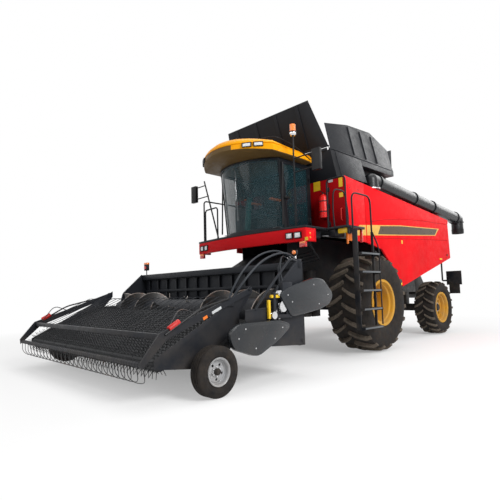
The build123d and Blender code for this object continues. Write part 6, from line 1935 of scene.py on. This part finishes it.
class HARVESTER_OT_hoses(bpy.types.Operator):
    """Hydraulic hoses at the header's left end, with their block and couplers"""

    bl_idname = "harvester.hoses"
    bl_label = "Header hoses"

    def execute(self, context):
        """Builds the block and the hoses."""
        y0 = HEADER_BACK_Y
        # points of each hose from the beam's upper face to its far end, and its radius
        for i, (points, radius) in enumerate(
            (
                (
                    [
                        (2.1, y0 - 0.06, BEAM_TOP_Z), (2.1, y0 - 0.2, 1.78), (2.12, y0 - 0.75, 1.66),
                        (2.09, y0 - 1.15, 1.32), (1.986, y0 - 1.275, 1.064),
                    ],
                    0.016,
                ),
                (
                    [
                        (2.04, y0 - 0.06, BEAM_TOP_Z), (2.04, y0 - 0.24, 1.8), (2.05, y0 - 0.8, 1.72),
                        (2.04, y0 - 1.22, 1.36), (1.986, y0 - 1.325, 1.038),
                    ],
                    0.014,
                ),
                (
                    [
                        (1.98, y0 - 0.06, BEAM_TOP_Z), (1.98, y0 - 0.2, 1.74), (2.06, y0 - 0.36, 1.62),
                        (2.1, y0 - 0.42, 1.47), (2.166, y0 - 0.45, 1.338),
                    ],
                    0.012,
                ),
            ),
        ):
            hose("header_hose_%d" % (i + 1), points, radius, "header")
        coupler = Workpiece()
        coupler.box((0.24, 0.1, 0.05), (2.04, y0 - 0.05, 1.635), 0.008)
        for x in (1.98, 2.04, 2.1):
            coupler.add(
                rod(0.021, 0.05, 20, 0.003), shift(x, y0 - 0.065, 1.655) @ spin(radians(20), "X"), 1
            )
        for y, z in ((y0 - 1.275, 1.1), (y0 - 1.325, 1.075)):
            coupler.add(rod(0.022, 0.06, 20, 0.003), shift(1.988, y, z - 0.035), 1)
        coupler.box((0.05, 0.17, 0.06), (1.992, y0 - 1.3, 1.05), 0.01)
        coupler.pipe(
            [
                (2.16, y0 - 0.12, 1.62), (2.2, y0 - 0.3, 1.66), (2.2, y0 - 0.8, 1.2),
                (2.168, y0 - 1.0, 0.966),
            ],
            0.017, 0.1,
        )
        coupler.pipe(
            [(1.95, y0 - 0.12, 1.62), (2.05, y0 - 0.4, 1.56), (2.166, y0 - 0.5, 1.296)], 0.013, 0.1
        )
        # lamps on stalks at both ends, and the marker
        for side in (-1, 1):
            x = side * 2.08
            coupler.pipe([(x, y0 - 0.06, 1.62), (x, y0 - 0.06, 1.74)], 0.01, 0.02)
            if side < 0:
                coupler.box((0.13, 0.06, 0.17), (x, y0 - 0.06, 1.8), 0.012)
                coupler.box((0.132, 0.062, 0.045), (x, y0 - 0.06, 1.865), 0.008, 2)
                coupler.add(
                    rod(0.035, 0.02, 24, 0.004), shift(x, y0 - 0.088, 1.775) @ spin(pi / 2, "X"), 3
                )
            else:
                coupler.add(
                    rod(0.03, 0.025, 24, 0.005), shift(x + 0.02, y0 - 0.085, 1.76) @ spin(pi / 2, "X"),
                    2,
                )
                coupler.box((0.07, 0.04, 0.07), (x + 0.02, y0 - 0.065, 1.76), 0.01)
        coupler.finish(
            "header_block_lamps", "header",
            ["charcoal_paint", "bright_steel", "amber_lens", "red_lens"], "header_paint",
        )
        return {"FINISHED"}


class HARVESTER_OT_fittings(bpy.types.Operator):
    """Pipes, boxes and lamps under the platform, at the housing and at the tank's rim"""

    bl_idname = "harvester.fittings"
    bl_label = "Fittings under the body"

    def execute(self, context):
        """Builds the fittings on the chassis."""
        parts = Workpiece()
        # four pipes from the platform's underside to the housing's side wall
        for i in range(4):
            x = 1.18 + i * 0.05
            parts.pipe(
                [
                    (x, -1.75, 2.285), (x, -1.55, 2.1 - i * 0.05), (x - 0.1, -1.2, 1.95 - i * 0.06),
                    (0.645, -1.2, 1.9 - i * 0.06),
                ],
                0.01, 0.12,
            )
        # boxes, lamps and small parts: place, size, material
        for place, size, material in (
            ((1.3, -1.62, 2.225), (0.3, 0.34, 0.15), 0), ((1.62, -1.2, 2.235), (0.16, 0.3, 0.13), 0),
            ((1.74, -0.92, 2.2), (0.05, 0.16, 0.2), 3), ((1.74, -1.02, 2.17), (0.04, 0.03, 0.26), 2),
            ((1.9, -0.8, 2.18), (0.05, 0.04, 0.24), 4), ((1.84, -1.31, 2.255), (0.2, 0.04, 0.09), 1),
            ((0.73, -0.9, 1.45), (0.18, 0.16, 0.3), 0), ((0.79, 1.7, 1.26), (0.3, 0.9, 0.36), 0),
            ((-0.79, 1.7, 1.26), (0.3, 0.9, 0.36), 0), ((0.73, 2.42, 1.2), (0.18, 0.36, 0.26), 0),
            ((0.84, 2.4, 1.18), (0.05, 0.1, 0.18), 5),
        ):
            parts.add(block(size, 0.012), Matrix.Translation(place), material)
        wall_x = 0.635
        for z in (1.62, 1.56, 1.5):
            parts.pipe(
                [
                    (wall_x, 0.9, z), (wall_x + 0.035, 0.95, z), (wall_x + 0.035, 2.6, z - 0.05),
                    (wall_x, 2.65, z - 0.05),
                ],
                0.014, 0.02,
            )
        parts.pipe(
            [
                (1.7, -1.36, 2.3), (1.7, -1.4, 2.62), (1.7, -1.36, 3.05), (1.7, -0.98, 3.05),
                (1.7, -0.9, 2.62), (1.7, -0.92, 2.32),
            ],
            0.014, 0.14,
        )
        parts.add(plate(box_loop(1.47, 2.095, 0.19, 0.06), 0.004, 0.01), front_frame(-1.985), 1)
        # corners of the tank's rim, and rubber strips below the end flaps' hinges
        rim_z, tank_z = 3.949, 3.4205
        for side in (-1, 1):
            outer = [
                (1.415, -0.985, rim_z), (1.415, -0.787, tank_z), (1.545, -0.813, tank_z),
                (1.421, -0.811, rim_z),
            ]
            inner = [(x - 0.005, y + 0.004, z) for x, y, z in outer]
            parts.add(skin([[(side * x, y, z) for x, y, z in ring] for ring in (outer, inner)]))
        for y in (-0.984, 1.576):
            parts.box((2.7, 0.006, 0.052), (0, y, 3.975), 0.002)
        parts.finish(
            "chassis_fittings", "chassis",
            ["black_paint", "yellow_label", "amber_lens", "orange_label", "red_lens", "bright_steel"],
            "black_paint",
        )
        return {"FINISHED"}


# Camera of the photograph: place, heading, tilt and roll in degrees, focal length in its pixels
CAMERA_AT = (6.127, -7.857, 1.2)
CAMERA_TURN = (45.659, 5.578, -1.503)
FOCAL_PIXELS = 427.894
PHOTO_PIXELS = 500
SENSOR_WIDTH = 36


def floor_finish():
    """Pale floor that keeps the machine's shadow and turns plain white further out."""
    material, shader, tree = finish_nodes("studio_floor")
    shader.inputs["Base Color"].default_value = (0.93, 0.93, 0.93, 1)
    shader.inputs["Roughness"].default_value = 0.95
    shader.inputs["Specular IOR Level"].default_value = 0.0
    where = tree.nodes.new("ShaderNodeTexCoord")
    reach = tree.nodes.new("ShaderNodeVectorMath")
    reach.operation = "LENGTH"
    band = tree.nodes.new("ShaderNodeMapRange")
    band.inputs["From Min"].default_value = 4.0
    band.inputs["From Max"].default_value = 11.0
    band.inputs["To Min"].default_value = 0.3
    band.inputs["To Max"].default_value = 1.0
    rays = tree.nodes.new("ShaderNodeLightPath")
    glow = tree.nodes.new("ShaderNodeEmission")
    glow.inputs["Color"].default_value = WHITE
    pick = tree.nodes.new("ShaderNodeMixShader")
    seen = seen_rays(tree, rays)
    tree.links.new(where.outputs["Object"], reach.inputs[0])
    tree.links.new(reach.outputs["Value"], band.inputs["Value"])
    tree.links.new(combine(tree, "MULTIPLY", seen, band.outputs["Result"]), pick.inputs[0])
    tree.links.new(shader.outputs[0], pick.inputs[1])
    tree.links.new(glow.outputs[0], pick.inputs[2])
    tree.links.new(pick.outputs[0], tree.nodes["Material Output"].inputs["Surface"])
    return material


def seen_rays(tree, rays):
    """One for the rays that show a background: from the camera, reflected or through glass."""
    reflected = combine(
        tree, "MAXIMUM", rays.outputs["Is Glossy Ray"], rays.outputs["Is Transmission Ray"]
    )
    return combine(tree, "MAXIMUM", rays.outputs["Is Camera Ray"], reflected)


class HARVESTER_OT_stage(bpy.types.Operator):
    """Floor, soft studio lights, world and camera"""

    bl_idname = "harvester.stage"
    bl_label = "Stage"

    def execute(self, context):
        """Builds the studio and places the camera."""
        scene = context.scene
        floor_mesh = bpy.data.meshes.new("studio_floor")
        shape = bmesh.new()
        bmesh.ops.create_grid(shape, x_segments=1, y_segments=1, size=80)
        shape.to_mesh(floor_mesh)
        shape.free()
        floor = bpy.data.objects.new("studio_floor", floor_mesh)
        scene.collection.objects.link(floor)
        floor_mesh.materials.append(floor_finish())
        # name, place, aim, diameter in metres, power in watts
        for name, place, aim, size, power in (
            ("key", (13.0, -3.5, 9.0), (0, 0, 1.5), 7.0, 1500),
            ("fill", (-3.0, -14.0, 7.0), (0, 0, 1.5), 8.0, 330),
            ("rear", (4.0, 13.0, 9.0), (0, 0, 1.5), 9.0, 520),
            ("top", (0.0, 0.0, 14.0), (0, 0, 0), 12.0, 650),
        ):
            light = bpy.data.lights.new(name, "AREA")
            light.shape = "DISK"
            light.size = size
            light.energy = power
            lamp = bpy.data.objects.new(name, light)
            lamp.matrix_world = along(place, Vector(place) * 2 - Vector(aim))
            scene.collection.objects.link(lamp)
        world = bpy.data.worlds.new("studio")
        world.use_nodes = True
        sky = world.node_tree
        back = sky.nodes["Background"]
        back.inputs["Color"].default_value = WHITE
        back.inputs["Strength"].default_value = 0.34
        white = sky.nodes.new("ShaderNodeBackground")
        white.inputs["Color"].default_value = WHITE
        rays = sky.nodes.new("ShaderNodeLightPath")
        pick = sky.nodes.new("ShaderNodeMixShader")
        sky.links.new(seen_rays(sky, rays), pick.inputs[0])
        sky.links.new(back.outputs[0], pick.inputs[1])
        sky.links.new(white.outputs[0], pick.inputs[2])
        sky.links.new(pick.outputs[0], sky.nodes["World Output"].inputs["Surface"])
        scene.world = world
        scene.view_settings.view_transform = "Standard"
        yaw, pitch, roll = (radians(angle) for angle in CAMERA_TURN)
        ahead = Vector((-sin(yaw) * cos(pitch), cos(yaw) * cos(pitch), sin(pitch)))
        level = Vector((cos(yaw), sin(yaw), 0))
        up = level.cross(ahead)
        right = level * cos(roll) + up * sin(roll)
        up = up * cos(roll) - level * sin(roll)
        lens = bpy.data.cameras.new("photo_camera")
        lens.sensor_width = SENSOR_WIDTH
        lens.lens = FOCAL_PIXELS / PHOTO_PIXELS * SENSOR_WIDTH
        camera = bpy.data.objects.new("photo_camera", lens)
        turn = Matrix((right, up, -ahead)).transposed().to_4x4()
        camera.matrix_world = shift(*CAMERA_AT) @ turn
        scene.collection.objects.link(camera)
        scene.camera = camera
        return {"FINISHED"}


class HARVESTER_PT_pieces(bpy.types.Panel):
    """Buttons for the pieces, in the order in which they are made"""

    bl_label = "Combine Harvester"
    bl_idname = "HARVESTER_PT_pieces"
    bl_space_type = "VIEW_3D"
    bl_region_type = "UI"
    bl_category = "Harvester"

    def draw(self, context):
        """Lists the sizes and the operators."""
        for name in HarvesterSizes.__annotations__:
            self.layout.prop(context.scene.harvester, name)
        for operator in OPERATORS:
            self.layout.operator(operator.bl_idname)


OPERATORS = (
    HARVESTER_OT_finishes, HARVESTER_OT_node_finish, HARVESTER_OT_tyres, HARVESTER_OT_rims,
    HARVESTER_OT_dress, HARVESTER_OT_body, HARVESTER_OT_unload_tube, HARVESTER_OT_cab,
    HARVESTER_OT_interior, HARVESTER_OT_extinguisher, HARVESTER_OT_mirrors, HARVESTER_OT_ladder,
    HARVESTER_OT_header_frame, HARVESTER_OT_header_auger, HARVESTER_OT_pickup, HARVESTER_OT_hold_down,
    HARVESTER_OT_hoses, HARVESTER_OT_fittings, HARVESTER_OT_stage,
)
CLASSES = (HarvesterSizes,) + OPERATORS + (HARVESTER_PT_pieces,)


def register():
    """Registers the classes and the sizes."""
    for item in CLASSES:
        bpy.utils.register_class(item)
    bpy.types.Scene.harvester = PointerProperty(type=HarvesterSizes)


def unregister():
    """Removes the sizes and the classes."""
    del bpy.types.Scene.harvester
    for item in reversed(CLASSES):
        bpy.utils.unregister_class(item)


def main():
    """Builds every piece in order."""
    register()
    for operator in OPERATORS:
        group, name = operator.bl_idname.split(".")
        getattr(getattr(bpy.ops, group), name)()


if __name__ == "__main__":
    main()
